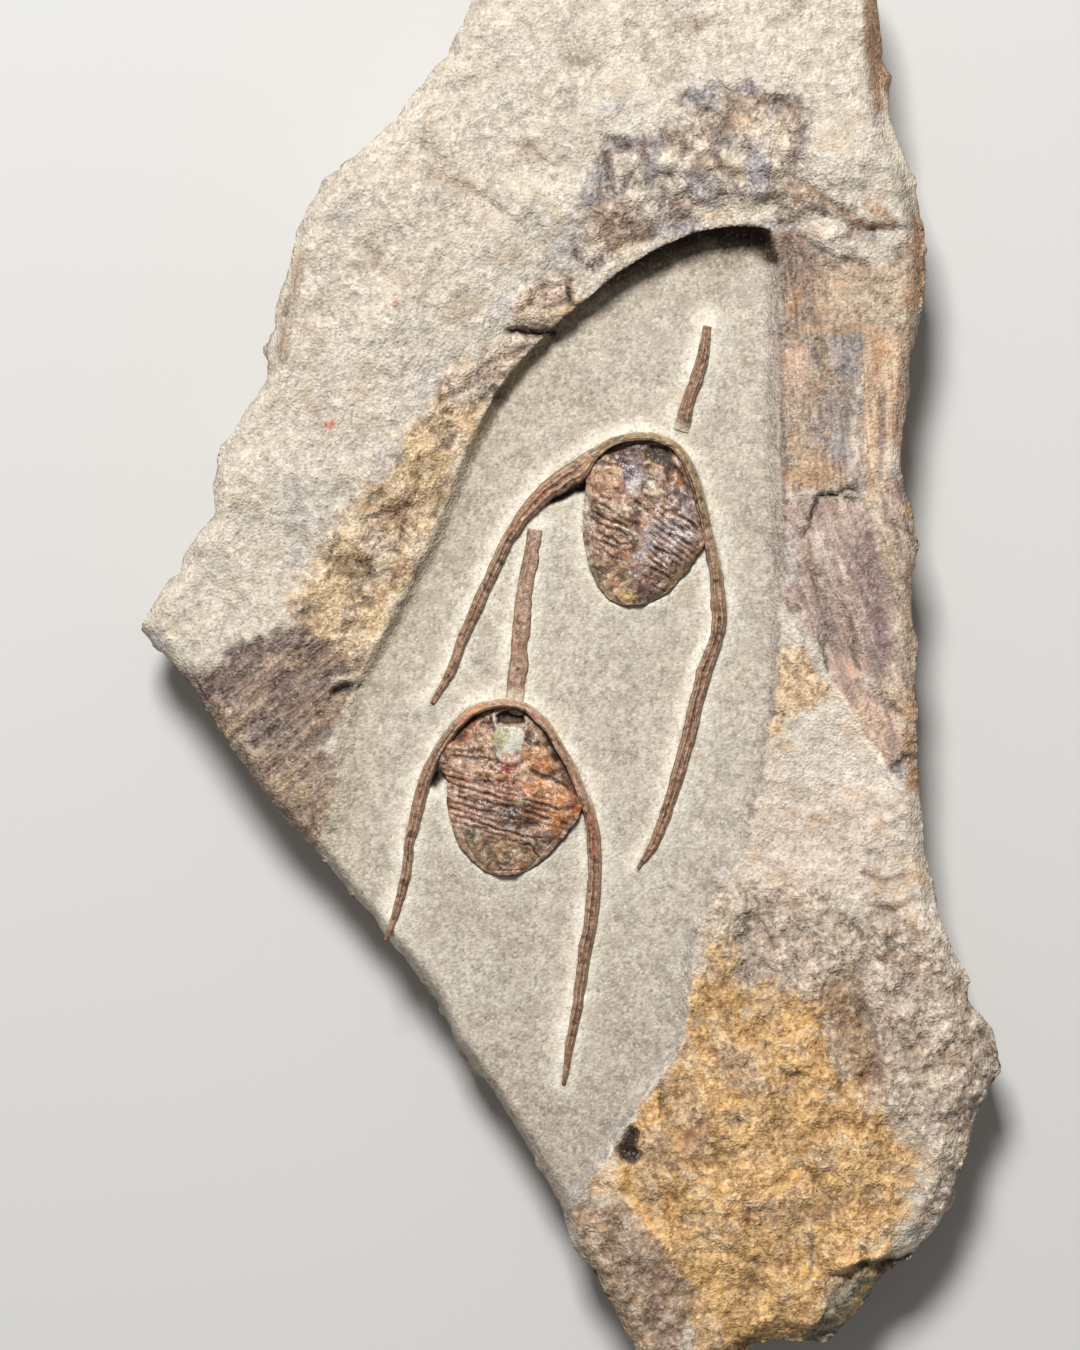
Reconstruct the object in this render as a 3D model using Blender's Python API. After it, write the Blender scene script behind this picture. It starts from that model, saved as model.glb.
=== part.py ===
"""Two Ampyx trilobites in a rough slab of limestone, lying on its back.

The slab's flat underside is at z = 0, its long way is along Y and the fossils face up. Lengths are in
millimetres, and MM turns them into metres where a mesh is made. Each trilobite has a nose spine, a hoop of
cheeks that runs back into two long spines, a head shield, six body segments and a tail shield. They lie in a
hollow that was ground out of the slab to free them, and that is open to the slab's lower left edge.
"""

import bpy
import numpy as np
from mathutils import Vector
from mathutils.geometry import delaunay_2d_cdt

MM = 0.001

# Heights above the flat back
FLOOR_HEIGHT = 15.5
FLOOR_SWELL = 0.15
FLOOR_SWELL_SIZE = 26.0
PLATE_GAP = 0.3

# Spacing of the points of the slab's mesh
TOP_SPACING = 2.9
EDGE_SPACING = 3.2
RIM_SPACING = 2.8

# The points' triangular pattern, as shares of their spacing: how far apart its rows are, how uneven it is,
# and how clear of edges and lines
ROW_SHARE = 0.866
UNEVEN_SHARE = 0.2
CLEAR_SHARE = 0.6

# The slab's sides, from the top edge down: share of the height left, and how far in the side has gone
SIDE_RINGS = ((0.78, 0.2), (0.52, 0.9), (0.25, 1.3), (0.07, 2.0), (0.0, 2.8))
SIDE_LUMP = 0.7
SIDE_LUMP_SIZE = 6.0
SIDE_LUMP_FADE = 0.25
SIDE_SMOOTHING = 4.0

# The broken outline seen from above, clockwise from the top left corner
LEFT_EDGE = (
    (0.0, -76.0), (-2.0, -69.5), (-6.0, -63.0), (-10.5, -56.0), (-15.0, -50.0), (-17.0, -45.0),
    (-21.0, -40.0), (-24.0, -36.5), (-25.0, -34.5), (-28.0, -32.0), (-29.5, -29.5), (-32.5, -26.0),
    (-37.5, -21.0), (-41.0, -16.0), (-46.5, -7.5), (-50.0, -2.5), (-54.0, 2.0), (-53.5, 3.5),
    (-50.5, 8.0), (-49.0, 8.5), (-48.5, 11.0), (-46.5, 14.0), (-44.5, 16.0), (-45.0, 19.0),
    (-44.0, 24.0), (-40.5, 29.5), (-38.0, 32.5), (-38.0, 35.0), (-37.0, 41.5), (-36.0, 45.0),
    (-34.0, 52.0), (-31.0, 57.0), (-28.0, 59.5), (-22.0, 65.0), (-18.5, 69.0), (-15.5, 72.5),
)
TOP_EDGE = (
    (-12.5, 80.0), (-11.5, 84.0), (-10.5, 87.0), (-6.5, 90.0), (-0.5, 91.0), (8.5, 90.5), (16.0, 92.0),
    (24.5, 91.5), (32.0, 90.0), (36.0, 87.5), (37.5, 84.0),
)
RIGHT_EDGE = (
    (38.0, 80.0), (38.5, 75.5), (38.0, 72.5), (39.5, 65.5), (40.5, 62.5), (43.0, 57.5), (43.0, 55.0),
    (44.0, 49.0), (43.5, 40.5), (42.0, 34.0), (41.0, 24.0), (41.0, 21.5), (43.5, 12.0), (42.5, 8.5),
    (43.0, -3.5), (43.0, -11.0), (44.0, -26.5), (45.0, -29.0), (46.0, -35.0), (50.0, -42.5),
    (49.5, -44.5), (52.5, -48.5), (54.0, -53.5), (51.5, -58.0), (49.5, -63.5), (47.0, -71.0),
    (42.5, -77.5), (39.5, -79.0), (35.5, -85.0),
)
BOTTOM_EDGE = (
    (32.0, -88.0), (24.5, -87.5), (20.0, -90.0), (14.5, -92.0), (9.5, -91.5), (6.5, -86.0), (3.5, -80.0),
)

# The hollow's rim, clockwise from the lower left edge: x, y and how wide the wall is there
HOLLOW_RIM = (
    (-32.5, -27.0, 1.5), (-30.0, -20.0, 1.5), (-29.0, -10.0, 2.0), (-27.5, -6.0, 2.5), (-25.0, -1.0, 3.0),
    (-19.0, 10.0, 3.0), (-13.5, 23.5, 3.0), (-10.5, 29.5, 3.0), (-6.5, 35.0, 3.0), (-2.5, 39.0, 3.0),
    (1.0, 42.0, 2.8), (6.0, 46.0, 2.5), (11.0, 49.0, 2.2), (16.0, 51.0, 2.0), (21.0, 51.5, 1.8),
    (24.6, 51.0, 1.4), (25.5, 48.0, 1.3), (25.5, 30.0, 1.3), (26.0, 17.5, 1.3), (26.0, 5.0, 1.3),
    (25.5, -5.0, 1.5), (24.5, -12.5, 2.0), (23.0, -20.0, 2.5), (21.0, -27.5, 2.5), (18.0, -31.0, 2.0),
    (15.5, -36.0, 1.4), (14.5, -45.0, 1.4), (14.0, -50.0, 1.5), (12.0, -53.0, 1.5), (7.5, -59.0, 1.5),
    (3.5, -65.5, 1.3), (-1.5, -73.5, 1.2),
)
WALL_CURVE = 1.6

# Two points outside the slab that close the hollow on its open side
HOLLOW_CLOSE = ((-10.0, -80.0), (-45.0, -35.0))

# Heights of the broken top at chosen spots: x, y, height
TOP_SPOTS = (
    (-36.0, 38.0, 19.6), (-32.0, 50.0, 20.4), (-26.0, 40.0, 21.6), (-20.0, 58.0, 21.8), (-14.0, 45.0, 21.9),
    (-10.0, 72.0, 22.0), (-2.0, 58.0, 22.1), (-3.0, 85.0, 21.9), (10.0, 74.0, 22.2), (20.0, 85.0, 22.3),
    (33.0, 82.0, 21.9), (30.0, 70.0, 22.3), (12.0, 58.0, 22.3), (18.0, 55.0, 21.6), (26.0, 56.0, 21.8),
    (36.0, 60.0, 22.0), (41.0, 54.0, 20.4), (-22.0, 27.0, 20.6), (-11.0, 33.0, 19.6), (0.0, 44.0, 20.8),
    (-31.0, 22.0, 19.6), (-38.0, 24.0, 18.8), (-17.0, 19.0, 18.7), (-42.0, 14.0, 18.0), (-33.0, 10.0, 18.5),
    (-24.0, 7.0, 18.0), (-50.0, 4.0, 16.6), (-41.0, 0.0, 17.3), (-31.0, 0.0, 17.4), (-37.0, -12.0, 16.9),
    (-31.0, -12.0, 16.6), (-33.0, -22.0, 15.9), (28.0, 47.0, 19.2), (36.0, 45.0, 18.9), (42.0, 43.0, 18.0),
    (30.0, 33.0, 18.8), (38.0, 30.0, 18.2), (29.0, 20.0, 18.6), (37.0, 17.0, 18.3), (42.0, 8.0, 17.4),
    (30.0, 6.0, 18.2), (36.0, 3.0, 18.0), (29.0, -3.0, 17.7), (41.0, -4.0, 17.3), (27.0, -12.0, 17.0),
    (33.0, -16.0, 16.9), (41.0, -14.0, 17.2), (24.0, -24.0, 16.3), (33.0, -24.0, 16.5), (42.0, -28.0, 16.5),
    (19.0, -34.0, 16.4), (27.0, -35.0, 17.3), (37.0, -38.0, 18.0), (47.0, -42.0, 16.8), (17.0, -46.0, 17.4),
    (28.0, -48.0, 17.9), (39.0, -52.0, 18.2), (50.0, -54.0, 16.2), (12.0, -58.0, 17.4), (23.0, -60.0, 17.9),
    (34.0, -65.0, 17.8), (45.0, -68.0, 16.4), (4.0, -69.0, 16.8), (14.0, -72.0, 17.4), (26.0, -76.0, 17.4),
    (36.0, -80.0, 16.4), (10.0, -84.0, 16.4), (22.0, -87.0, 16.2),
)
SPOT_REACH = 7.5

# The top's general unevenness: size across, height, seed
TOP_WAVES = ((9.0, 0.35, 11), (4.5, 0.22, 12))

# Rounding of the top edge at chosen places: x, y, width, drop
EDGE_SPOTS = (
    (-35.0, 45.0, 2.5, 1.8), (-20.0, 68.0, 2.0, 1.5), (10.0, 92.0, 2.0, 2.0), (38.0, 76.0, 2.4, 4.5),
    (41.0, 61.0, 3.4, 4.0), (44.0, 48.0, 2.0, 3.0), (42.0, 25.0, 1.6, 1.8), (43.0, 0.0, 1.6, 1.6),
    (44.0, -25.0, 2.0, 2.0), (51.0, -48.0, 4.0, 2.5), (46.0, -72.0, 3.0, 2.5), (34.0, -86.0, 3.0, 3.0),
    (14.0, -92.0, 2.0, 2.0), (0.0, -74.0, 1.6, 3.0), (-15.0, -50.0, 1.4, 3.5), (-30.0, -29.0, 1.4, 3.0),
    (-42.0, -14.0, 1.6, 1.8), (-53.0, 2.0, 2.0, 1.8), (-45.0, 18.0, 2.0, 1.6),
)
EDGE_REACH = 12.0
EDGE_CURVE = 1.5

# Broken ledges: height of the step, how far its lift reaches, and its line with the high side on the right
LEDGES = (
    (0.8, 5.0, ((43.5, 51.5), (37.5, 51.5), (33.0, 52.5), (29.5, 54.0), (25.5, 56.0))),
    (0.5, 4.0, ((38.0, 47.5), (34.0, 47.5), (31.0, 49.0), (27.0, 51.0))),
    (1.2, 3.0, ((-2.0, 37.7), (-5.0, 38.5), (-8.5, 38.5))),
    (0.9, 4.0, ((36.5, 17.5), (32.0, 18.7), (26.5, 18.5))),
    (1.2, 4.0, ((36.5, -3.0), (34.0, 4.0), (30.0, 11.0))),
    (0.5, 4.0, ((41.5, -17.0), (39.5, -14.5), (36.0, -11.0), (32.0, -5.0))),
    (1.0, 5.0, ((38.5, -59.0), (38.0, -50.5), (36.5, -44.5))),
    (1.6, 4.0, ((40.0, -78.0), (36.0, -77.5), (32.5, -79.0))),
)
LEDGE_WIDTH = 0.9

# How much of a line's length, at each end, its ledge takes to rise
LEDGE_ENDS = 0.15

# Knobs and lumps: x, y, radius along X, radius along Y, height
LUMPS = (
    (10.0, 59.0, 4.5, 4.0, 1.0), (16.5, 63.0, 4.0, 4.5, 1.3), (23.0, 62.5, 3.5, 5.0, 1.2),
    (15.0, 56.5, 4.0, 3.0, 0.9), (21.5, 56.0, 3.5, 3.5, 0.8), (4.0, 53.5, 4.0, 4.0, 0.7),
    (-7.0, 41.0, 3.5, 3.5, 0.8), (-12.0, 35.0, 4.5, 3.5, 0.8), (-16.5, 29.0, 4.0, 3.0, 0.7),
    (-22.0, 20.0, 4.0, 5.0, 0.7), (-30.0, 14.0, 5.0, 4.0, 0.8), (-36.0, 4.0, 6.0, 4.0, 0.7),
    (29.5, 36.0, 4.0, 6.0, 0.6), (34.5, 33.0, 3.0, 5.0, 0.7), (34.0, 10.0, 3.0, 6.0, 0.6),
    (28.5, 2.0, 3.0, 4.0, 0.6), (44.0, -38.0, 5.0, 4.0, 0.8), (30.0, -45.0, 6.0, 5.0, 0.7),
    (22.0, -56.0, 6.0, 5.0, 0.7), (33.0, -57.0, 5.0, 5.0, 0.8), (20.0, -70.0, 6.0, 5.0, 0.7),
    (46.0, -58.0, 4.0, 4.0, 0.8), (12.0, -66.0, 3.5, 3.0, 0.8), (28.0, -82.0, 5.0, 4.0, 0.7),
)
LUMP_STEEPNESS = 1.5

# The hoops' outer edges, from the left spine's tip round the head to the right one's: x, y, width, height
UPPER_HOOP = (
    (-17.9, -7.6, 0.6, 0.5), (-16.1, -4.0, 1.2, 0.9), (-14.2, 1.0, 1.4, 1.1), (-11.6, 7.0, 1.5, 1.3),
    (-9.4, 12.0, 1.6, 1.4), (-7.2, 15.8, 1.8, 1.5), (-4.8, 18.9, 2.3, 1.7), (-2.1, 21.3, 2.7, 1.9),
    (0.4, 22.9, 2.1, 2.0), (2.4, 24.2, 1.4, 2.1), (4.8, 25.5, 1.3, 2.2), (7.4, 26.2, 1.3, 2.3),
    (10.2, 26.2, 1.4, 2.3), (12.8, 25.2, 1.6, 2.2), (14.8, 23.0, 1.9, 2.2), (16.1, 19.8, 2.1, 2.1),
    (17.1, 16.2, 2.0, 2.0), (17.9, 12.6, 1.8, 1.8), (18.6, 9.6, 1.7, 1.7), (19.2, 5.5, 2.0, 1.6),
    (19.3, 2.5, 2.0, 1.5), (18.7, -0.2, 1.8, 1.4), (17.7, -3.2, 1.9, 1.4), (16.5, -7.5, 1.9, 1.4),
    (15.2, -12.5, 1.8, 1.3), (13.8, -17.5, 1.7, 1.2), (12.2, -22.4, 1.5, 1.0), (10.6, -26.0, 1.3, 0.8),
    (8.4, -28.6, 0.5, 0.5),
)
LOWER_HOOP = (
    (-23.6, -37.4, 0.6, 0.5), (-22.3, -32.3, 1.2, 0.9), (-21.4, -28.2, 1.3, 1.1), (-21.0, -24.5, 1.4, 1.2),
    (-20.2, -20.8, 1.5, 1.3), (-19.4, -17.5, 1.6, 1.4), (-18.6, -15.4, 1.7, 1.6), (-17.2, -13.2, 1.7, 1.8),
    (-16.0, -11.4, 1.6, 1.9), (-14.6, -9.7, 1.5, 2.0), (-12.6, -8.2, 1.4, 2.1), (-10.6, -7.5, 1.4, 2.2),
    (-8.6, -7.2, 1.4, 2.2), (-6.4, -7.4, 1.4, 2.2), (-4.8, -8.3, 1.4, 2.2), (-3.0, -10.0, 1.5, 2.1),
    (-1.4, -12.4, 1.5, 2.1), (0.2, -15.2, 1.5, 2.0), (1.5, -18.0, 1.5, 1.9), (2.6, -20.8, 1.5, 1.7),
    (3.4, -23.8, 1.7, 1.6), (3.6, -27.0, 1.7, 1.5), (3.5, -31.0, 1.6, 1.4), (3.0, -35.5, 1.7, 1.3),
    (2.2, -40.5, 1.6, 1.2), (1.2, -46.0, 1.4, 1.0), (0.0, -51.5, 1.1, 0.8), (-0.9, -55.5, 0.5, 0.5),
)
HOOP_SPACING = 2.3

# Across a spine or hoop from its outer to its inner edge: places, and the height there as a share of the
# whole. A spine is round with a groove along it, and the hoop's front leans up to its inner edge.
ACROSS = np.array((0.0, 0.12, 0.34, 0.52, 0.7, 0.9, 1.0))
ROUND_SPINE = np.array((0.25, 0.75, 1.0, 0.86, 1.0, 0.72, 0.25))
FRONT_LIP = np.array((0.1, 0.35, 0.7, 0.92, 1.0, 1.0, 0.8))

# Where the hoop's lean begins and is whole, as shares of its length from its left and its right end
LEAN_FROM_LEFT = (0.3, 0.4)
LEAN_FROM_RIGHT = (0.3, 0.42)

# The nose spines' left edges, from base to tip: x, y, width, height
UPPER_NOSE = ((12.6, 26.6, 1.7, 1.3), (14.0, 31.0, 1.6, 1.2), (15.4, 35.4, 1.6, 1.1), (16.4, 39.6, 1.2, 0.7))
LOWER_NOSE = ((-8.3, -6.7, 2.3, 0.8), (-7.9, -2.0, 2.3, 0.8), (-7.2, 5.0, 2.1, 0.8), (-5.6, 14.2, 1.9, 0.7))
NOSE_SPACING = 2.6

# The plates' left and right edges, from front to back
UPPER_HEAD = (
    ((5.4, 24.0), (3.9, 23.2), (2.8, 21.9), (2.2, 20.4), (2.0, 18.7)),
    ((10.2, 24.3), (12.4, 22.8), (13.5, 20.4), (14.5, 17.4), (15.4, 14.9)),
)
UPPER_THORAX = (
    ((1.8, 18.2), (1.5, 15.8), (1.5, 13.2), (1.9, 10.8)),
    ((15.2, 14.2), (15.5, 12.3), (15.2, 10.6), (14.2, 8.9)),
)
UPPER_TAIL = (
    ((2.0, 10.3), (2.5, 8.5), (3.4, 7.1), (4.5, 6.0), (5.8, 5.1)),
    ((14.2, 8.4), (13.4, 7.4), (12.4, 6.5), (11.0, 5.6), (9.4, 5.0)),
)
LOWER_HEAD = (
    ((-10.6, -9.3), (-12.6, -10.2), (-14.0, -11.8), (-15.0, -13.2), (-15.4, -14.5)),
    ((-6.6, -9.4), (-4.9, -10.7), (-3.4, -12.7), (-1.9, -15.4), (-0.8, -18.2)),
)
LOWER_THORAX = (
    ((-15.5, -15.1), (-15.6, -17.5), (-15.6, -20.0), (-15.2, -22.4)),
    ((-0.4, -19.0), (0.6, -21.0), (-0.2, -22.8), (-1.5, -24.6)),
)
LOWER_TAIL = (
    ((-15.0, -22.9), (-14.4, -24.9), (-13.2, -26.6), (-11.4, -28.1), (-9.4, -29.2)),
    ((-1.9, -25.0), (-3.0, -26.2), (-4.2, -27.4), (-5.5, -28.5), (-6.9, -29.2)),
)
SEGMENTS = 6
ROWS_PER_SEGMENT = 3

# Faces across and along each plate
HEAD_GRID = (10, 8)
THORAX_GRID = (9, SEGMENTS * ROWS_PER_SEGMENT)
TAIL_GRID = (9, 6)

# Relief of the head: at its front, climb to the back, cheeks, hind border, furrow before it, sunken middle
HEAD_FRONT = 0.5
HEAD_CLIMB = 1.2
CHEEK_RISE = 0.5
BORDER_RISE = 0.3
FURROW_DEPTH = 0.4
MIDDLE_DEPTH = 0.2

# Relief of the thorax: at its edges, its sides, the axis and the ridge of each segment
THORAX_EDGE = 0.6
THORAX_SIDES = 1.0
THORAX_AXIS = 0.45
THORAX_RIDGE = 0.45

# Relief of the tail: at its edges, its sides, the axis and the climb to its front
TAIL_EDGE = 0.5
TAIL_SIDES = 1.0
TAIL_AXIS = 0.4
TAIL_CLIMB = 0.2

# Colours and roughness
ROCK_FINISH = ((0.55, 0.49, 0.39), 0.9)
UPPER_FINISHES = {
    "nose_spine": ((0.33, 0.21, 0.14), 0.6),
    "cheek_hoop": ((0.27, 0.16, 0.10), 0.5),
    "head_shield": ((0.32, 0.23, 0.18), 0.5),
    "thorax": ((0.32, 0.23, 0.18), 0.45),
    "tail_shield": ((0.36, 0.28, 0.21), 0.5),
}
LOWER_FINISHES = {
    "nose_spine": ((0.40, 0.28, 0.22), 0.6),
    "cheek_hoop": ((0.30, 0.17, 0.11), 0.5),
    "head_shield": ((0.40, 0.19, 0.10), 0.5),
    "thorax": ((0.40, 0.19, 0.10), 0.45),
    "tail_shield": ((0.33, 0.23, 0.17), 0.5),
}


def smooth_step(low, high, value):
    """0 below low, 1 above high, and an even S between."""
    share = np.clip((value - low) / (high - low), 0.0, 1.0)
    return share * share * (3.0 - 2.0 * share)


def corner_value(column, row, seed):
    """A steady value from -1 to 1 for each corner of a lattice."""
    mixed = np.sin(column * 127.1 + row * 311.7 + seed * 74.7) * 43758.5453
    return 2.0 * (mixed - np.floor(mixed)) - 1.0


def lumpiness(x, y, size, seed):
    """Smooth unevenness from -1 to 1, with lumps about size across."""
    column, row = np.floor(x / size), np.floor(y / size)
    across, up = x / size - column, y / size - row
    across = across * across * (3.0 - 2.0 * across)
    up = up * up * (3.0 - 2.0 * up)
    low = corner_value(column, row, seed) * (1.0 - across) + corner_value(column + 1, row, seed) * across
    row = row + 1
    high = corner_value(column, row, seed) * (1.0 - across) + corner_value(column + 1, row, seed) * across
    return low * (1.0 - up) + high * up


def along_curve(stations, spacing, smooth=True):
    """The stations' columns, read about every spacing along a line or a curve through them."""
    stations = np.asarray(stations, float)
    steps = np.hypot(*np.diff(stations[:, :2], axis=0).T)
    at = np.concatenate(([0.0], np.cumsum(steps)))
    wanted = np.linspace(0.0, at[-1], max(2, int(round(at[-1] / spacing)) + 1))
    if not smooth:
        return np.column_stack([np.interp(wanted, at, column) for column in stations.T])
    slopes = np.gradient(stations, at, axis=0)
    first = np.clip(np.searchsorted(at, wanted, side="right") - 1, 0, len(at) - 2)
    length = (at[first + 1] - at[first])[:, None]
    t = (wanted - at[first])[:, None] / length
    return (
        stations[first] * (2 * t**3 - 3 * t**2 + 1)
        + slopes[first] * length * (t**3 - 2 * t**2 + t)
        + stations[first + 1] * (3 * t**2 - 2 * t**3)
        + slopes[first + 1] * length * (t**3 - t**2)
    )


def from_line(x, y, line):
    """Each point's distance from a line, how far along it, 0 to 1, and 1 or -1 for its left or right side."""
    steps = np.hypot(*np.diff(line, axis=0).T)
    before = np.concatenate(([0.0], np.cumsum(steps)))
    nearest = np.full(x.shape, np.inf)
    along = np.zeros(x.shape)
    side = np.ones(x.shape)
    for (x0, y0), (x1, y1), step, start in zip(line[:-1], line[1:], steps, before):
        dx, dy = (x1 - x0) / step, (y1 - y0) / step
        reach = np.clip((x - x0) * dx + (y - y0) * dy, 0.0, step)
        away = np.hypot(x - x0 - reach * dx, y - y0 - reach * dy)
        nearer = away < nearest
        nearest = np.where(nearer, away, nearest)
        along = np.where(nearer, (start + reach) / before[-1], along)
        side = np.where(nearer, np.where(dx * (y - y0) - dy * (x - x0) > 0.0, 1.0, -1.0), side)
    return nearest, along, side


def inside(x, y, outline):
    """Which points lie inside a closed outline."""
    found = np.zeros(x.shape, bool)
    for (x0, y0), (x1, y1) in zip(outline, np.roll(outline, -1, axis=0)):
        if y0 == y1:
            continue
        crosses = (y0 > y) != (y1 > y)
        found ^= crosses & (x < x0 + (y - y0) * (x1 - x0) / (y1 - y0))
    return found


def spread(x, y, spots, reach):
    """A smooth average of the values at chosen spots, nearer spots counting for more."""
    total = np.zeros((len(spots[0]) - 2,) + x.shape)
    weight = np.zeros(x.shape)
    for spot in spots:
        share = np.exp(-((x - spot[0]) ** 2 + (y - spot[1]) ** 2) / reach**2) + 1e-9
        weight += share
        for column, value in enumerate(spot[2:]):
            total[column] += share * value
    return total / weight


def slab_outline():
    """The slab's outline as points about EDGE_SPACING apart, clockwise."""
    corners = np.array(LEFT_EDGE + TOP_EDGE + RIGHT_EDGE + BOTTOM_EDGE + LEFT_EDGE[:1])
    return along_curve(corners, EDGE_SPACING, smooth=False)[:-1]


def hollow_rim():
    """The hollow's rim as points with the wall's width, along a smooth curve."""
    return along_curve(HOLLOW_RIM, RIM_SPACING)


def floor_height(x, y):
    """The ground-out floor, which swells a little."""
    return FLOOR_HEIGHT + FLOOR_SWELL * lumpiness(x, y, FLOOR_SWELL_SIZE, 3)


def ledge_lift(x, y):
    """What the broken ledges add or take away."""
    lift = np.zeros(x.shape)
    for height, reach, line in LEDGES:
        away, along, side = from_line(x, y, np.array(line))
        ends = smooth_step(0.0, LEDGE_ENDS, along) * smooth_step(0.0, LEDGE_ENDS, 1.0 - along)
        step = smooth_step(-LEDGE_WIDTH / 2, LEDGE_WIDTH / 2, -side * away) - 0.5
        lift += height * ends * step * np.exp(-away / reach)
    return lift


def lump_lift(x, y):
    """What the knobs and lumps add."""
    lift = np.zeros(x.shape)
    for x0, y0, across, up, height in LUMPS:
        lift += height * np.exp(-(((x - x0) / across) ** 2 + ((y - y0) / up) ** 2) * LUMP_STEEPNESS)
    return lift


def broken_top(x, y):
    """The rough top as it was before the hollow was ground out."""
    height = spread(x, y, TOP_SPOTS, SPOT_REACH)[0]
    for size, rise, seed in TOP_WAVES:
        height += rise * lumpiness(x, y, size, seed)
    return height + ledge_lift(x, y) + lump_lift(x, y)


def slab_top(x, y, outline, rim):
    """The height of the slab's top face, with the hollow and the worn edges."""
    height = broken_top(x, y)
    away, along, _ = from_line(x, y, rim[:, :2])
    width = np.interp(along, np.linspace(0.0, 1.0, len(rim)), rim[:, 2])
    hollow = inside(x, y, np.vstack((rim[:, :2], HOLLOW_CLOSE)))
    wall = np.clip(1.0 - away / width, 0.0, 1.0) ** WALL_CURVE
    ground = floor_height(x, y)
    height = np.where(hollow, ground + (height - ground) * wall, height)
    bevel, drop = spread(x, y, EDGE_SPOTS, EDGE_REACH)
    from_edge, _, _ = from_line(x, y, np.vstack((outline, outline[:1])))
    return height - drop * np.clip(1.0 - from_edge / bevel, 0.0, 1.0) ** EDGE_CURVE


def fill_points(ring, lines, spacing):
    """Points in a triangular pattern inside a ring, clear of the ring and of the lines."""
    low, high = ring.min(axis=0), ring.max(axis=0)
    rows = np.arange(low[1], high[1], spacing * ROW_SHARE)
    columns = np.arange(low[0], high[0], spacing)
    x, y = np.meshgrid(columns, rows)
    x = x + np.where(np.arange(len(rows)) % 2, spacing / 2, 0.0)[:, None]
    x, y = x.ravel(), y.ravel()
    x = x + UNEVEN_SHARE * spacing * corner_value(x, y, 1)
    y = y + UNEVEN_SHARE * spacing * corner_value(x, y, 2)
    keep = inside(x, y, ring)
    for line in [np.vstack((ring, ring[:1]))] + lines:
        keep &= from_line(x, y, line)[0] > CLEAR_SHARE * spacing
    return np.column_stack((x, y))[keep]


def flat_triangles(ring, lines, spacing):
    """Triangles that fill a ring, with edges along the lines: their points and their corners."""
    points = [Vector(point) for point in ring]
    edges = [(n, (n + 1) % len(ring)) for n in range(len(ring))]
    for line in lines:
        edges += [(len(points) + n, len(points) + n + 1) for n in range(len(line) - 1)]
        points += [Vector(point) for point in line]
    points += [Vector(point) for point in fill_points(ring, lines, spacing)]
    found = delaunay_2d_cdt(points, edges, [], 1, 1e-4)
    flat = np.array([tuple(point) for point in found[0]])
    faces = []
    for a, b, c in found[2]:
        (x1, y1), (x2, y2) = flat[b] - flat[a], flat[c] - flat[a]
        faces.append((a, b, c) if x1 * y2 > x2 * y1 else (a, c, b))
    return flat, faces


def border_loop(faces):
    """The corners round the outside of a sheet of faces, anticlockwise."""
    following = {(a, b) for face in faces for a, b in zip(face, face[1:] + face[:1])}
    step = {a: b for a, b in following if (b, a) not in following}
    loop = [min(step)]
    while step[loop[-1]] != loop[0]:
        loop.append(step[loop[-1]])
    return loop


def material(name, finish):
    """A plain material of one colour and roughness."""
    colour, roughness = finish
    made = bpy.data.materials.new(name)
    made.use_nodes = True
    shader = made.node_tree.nodes["Principled BSDF"]
    shader.inputs["Base Color"].default_value = (*colour, 1.0)
    shader.inputs["Roughness"].default_value = roughness
    shader.inputs["Metallic"].default_value = 0.0
    return made


def add_object(name, points, faces, finish):
    """A mesh object from points in millimetres."""
    mesh = bpy.data.meshes.new(name)
    mesh.from_pydata([tuple(point) for point in np.asarray(points) * MM], [], faces)
    mesh.materials.append(finish)
    mesh.validate()
    thing = bpy.data.objects.new(name, mesh)
    bpy.context.scene.collection.objects.link(thing)
    return thing


def smoothed_ring(ring, reach):
    """A closed ring with its small corners taken off."""
    steps = max(1, int(reach / EDGE_SPACING))
    shifts = range(-steps, steps + 1)
    return sum(np.roll(ring, shift, axis=0) for shift in shifts) / len(shifts)


def build_slab(finish):
    """The slab: the triangulated top, rough sides that go in a little on the way down, and a flat back."""
    outline = slab_outline()[::-1]
    rim = hollow_rim()
    tangent = np.gradient(rim[:, :2], axis=0)
    tangent /= np.hypot(*tangent.T)[:, None]
    foot = rim[:, :2] + np.column_stack((tangent[:, 1], -tangent[:, 0])) * rim[:, 2:3]
    flat, faces = flat_triangles(outline, [rim[1:-1, :2], foot[1:-1]], TOP_SPACING)
    top = np.column_stack((flat, slab_top(flat[:, 0], flat[:, 1], outline, rim)))
    loop = border_loop(faces)
    ring = top[loop]
    smooth = smoothed_ring(ring[:, :2], SIDE_SMOOTHING)
    tangent = np.roll(smooth, -1, axis=0) - np.roll(smooth, 1, axis=0)
    outward = np.column_stack((tangent[:, 1], -tangent[:, 0])) / np.hypot(*tangent.T)[:, None]
    points = [top]
    above = loop
    count = len(top)
    for share, inset in SIDE_RINGS:
        height = ring[:, 2] * share
        lump = SIDE_LUMP * lumpiness(ring[:, 0] + ring[:, 1], height + ring[:, 1], SIDE_LUMP_SIZE, 21)
        depth = inset + lump * min(1.0, share / SIDE_LUMP_FADE)
        points.append(np.column_stack((ring[:, :2] - outward * depth[:, None], height)))
        below = list(range(count, count + len(loop)))
        count += len(loop)
        for n in range(len(loop)):
            after = (n + 1) % len(loop)
            faces.append((above[n], below[n], below[after], above[after]))
        above = below
    faces.append(tuple(reversed(above)))
    add_object("rock_slab", np.vstack(points), faces, finish)


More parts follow.
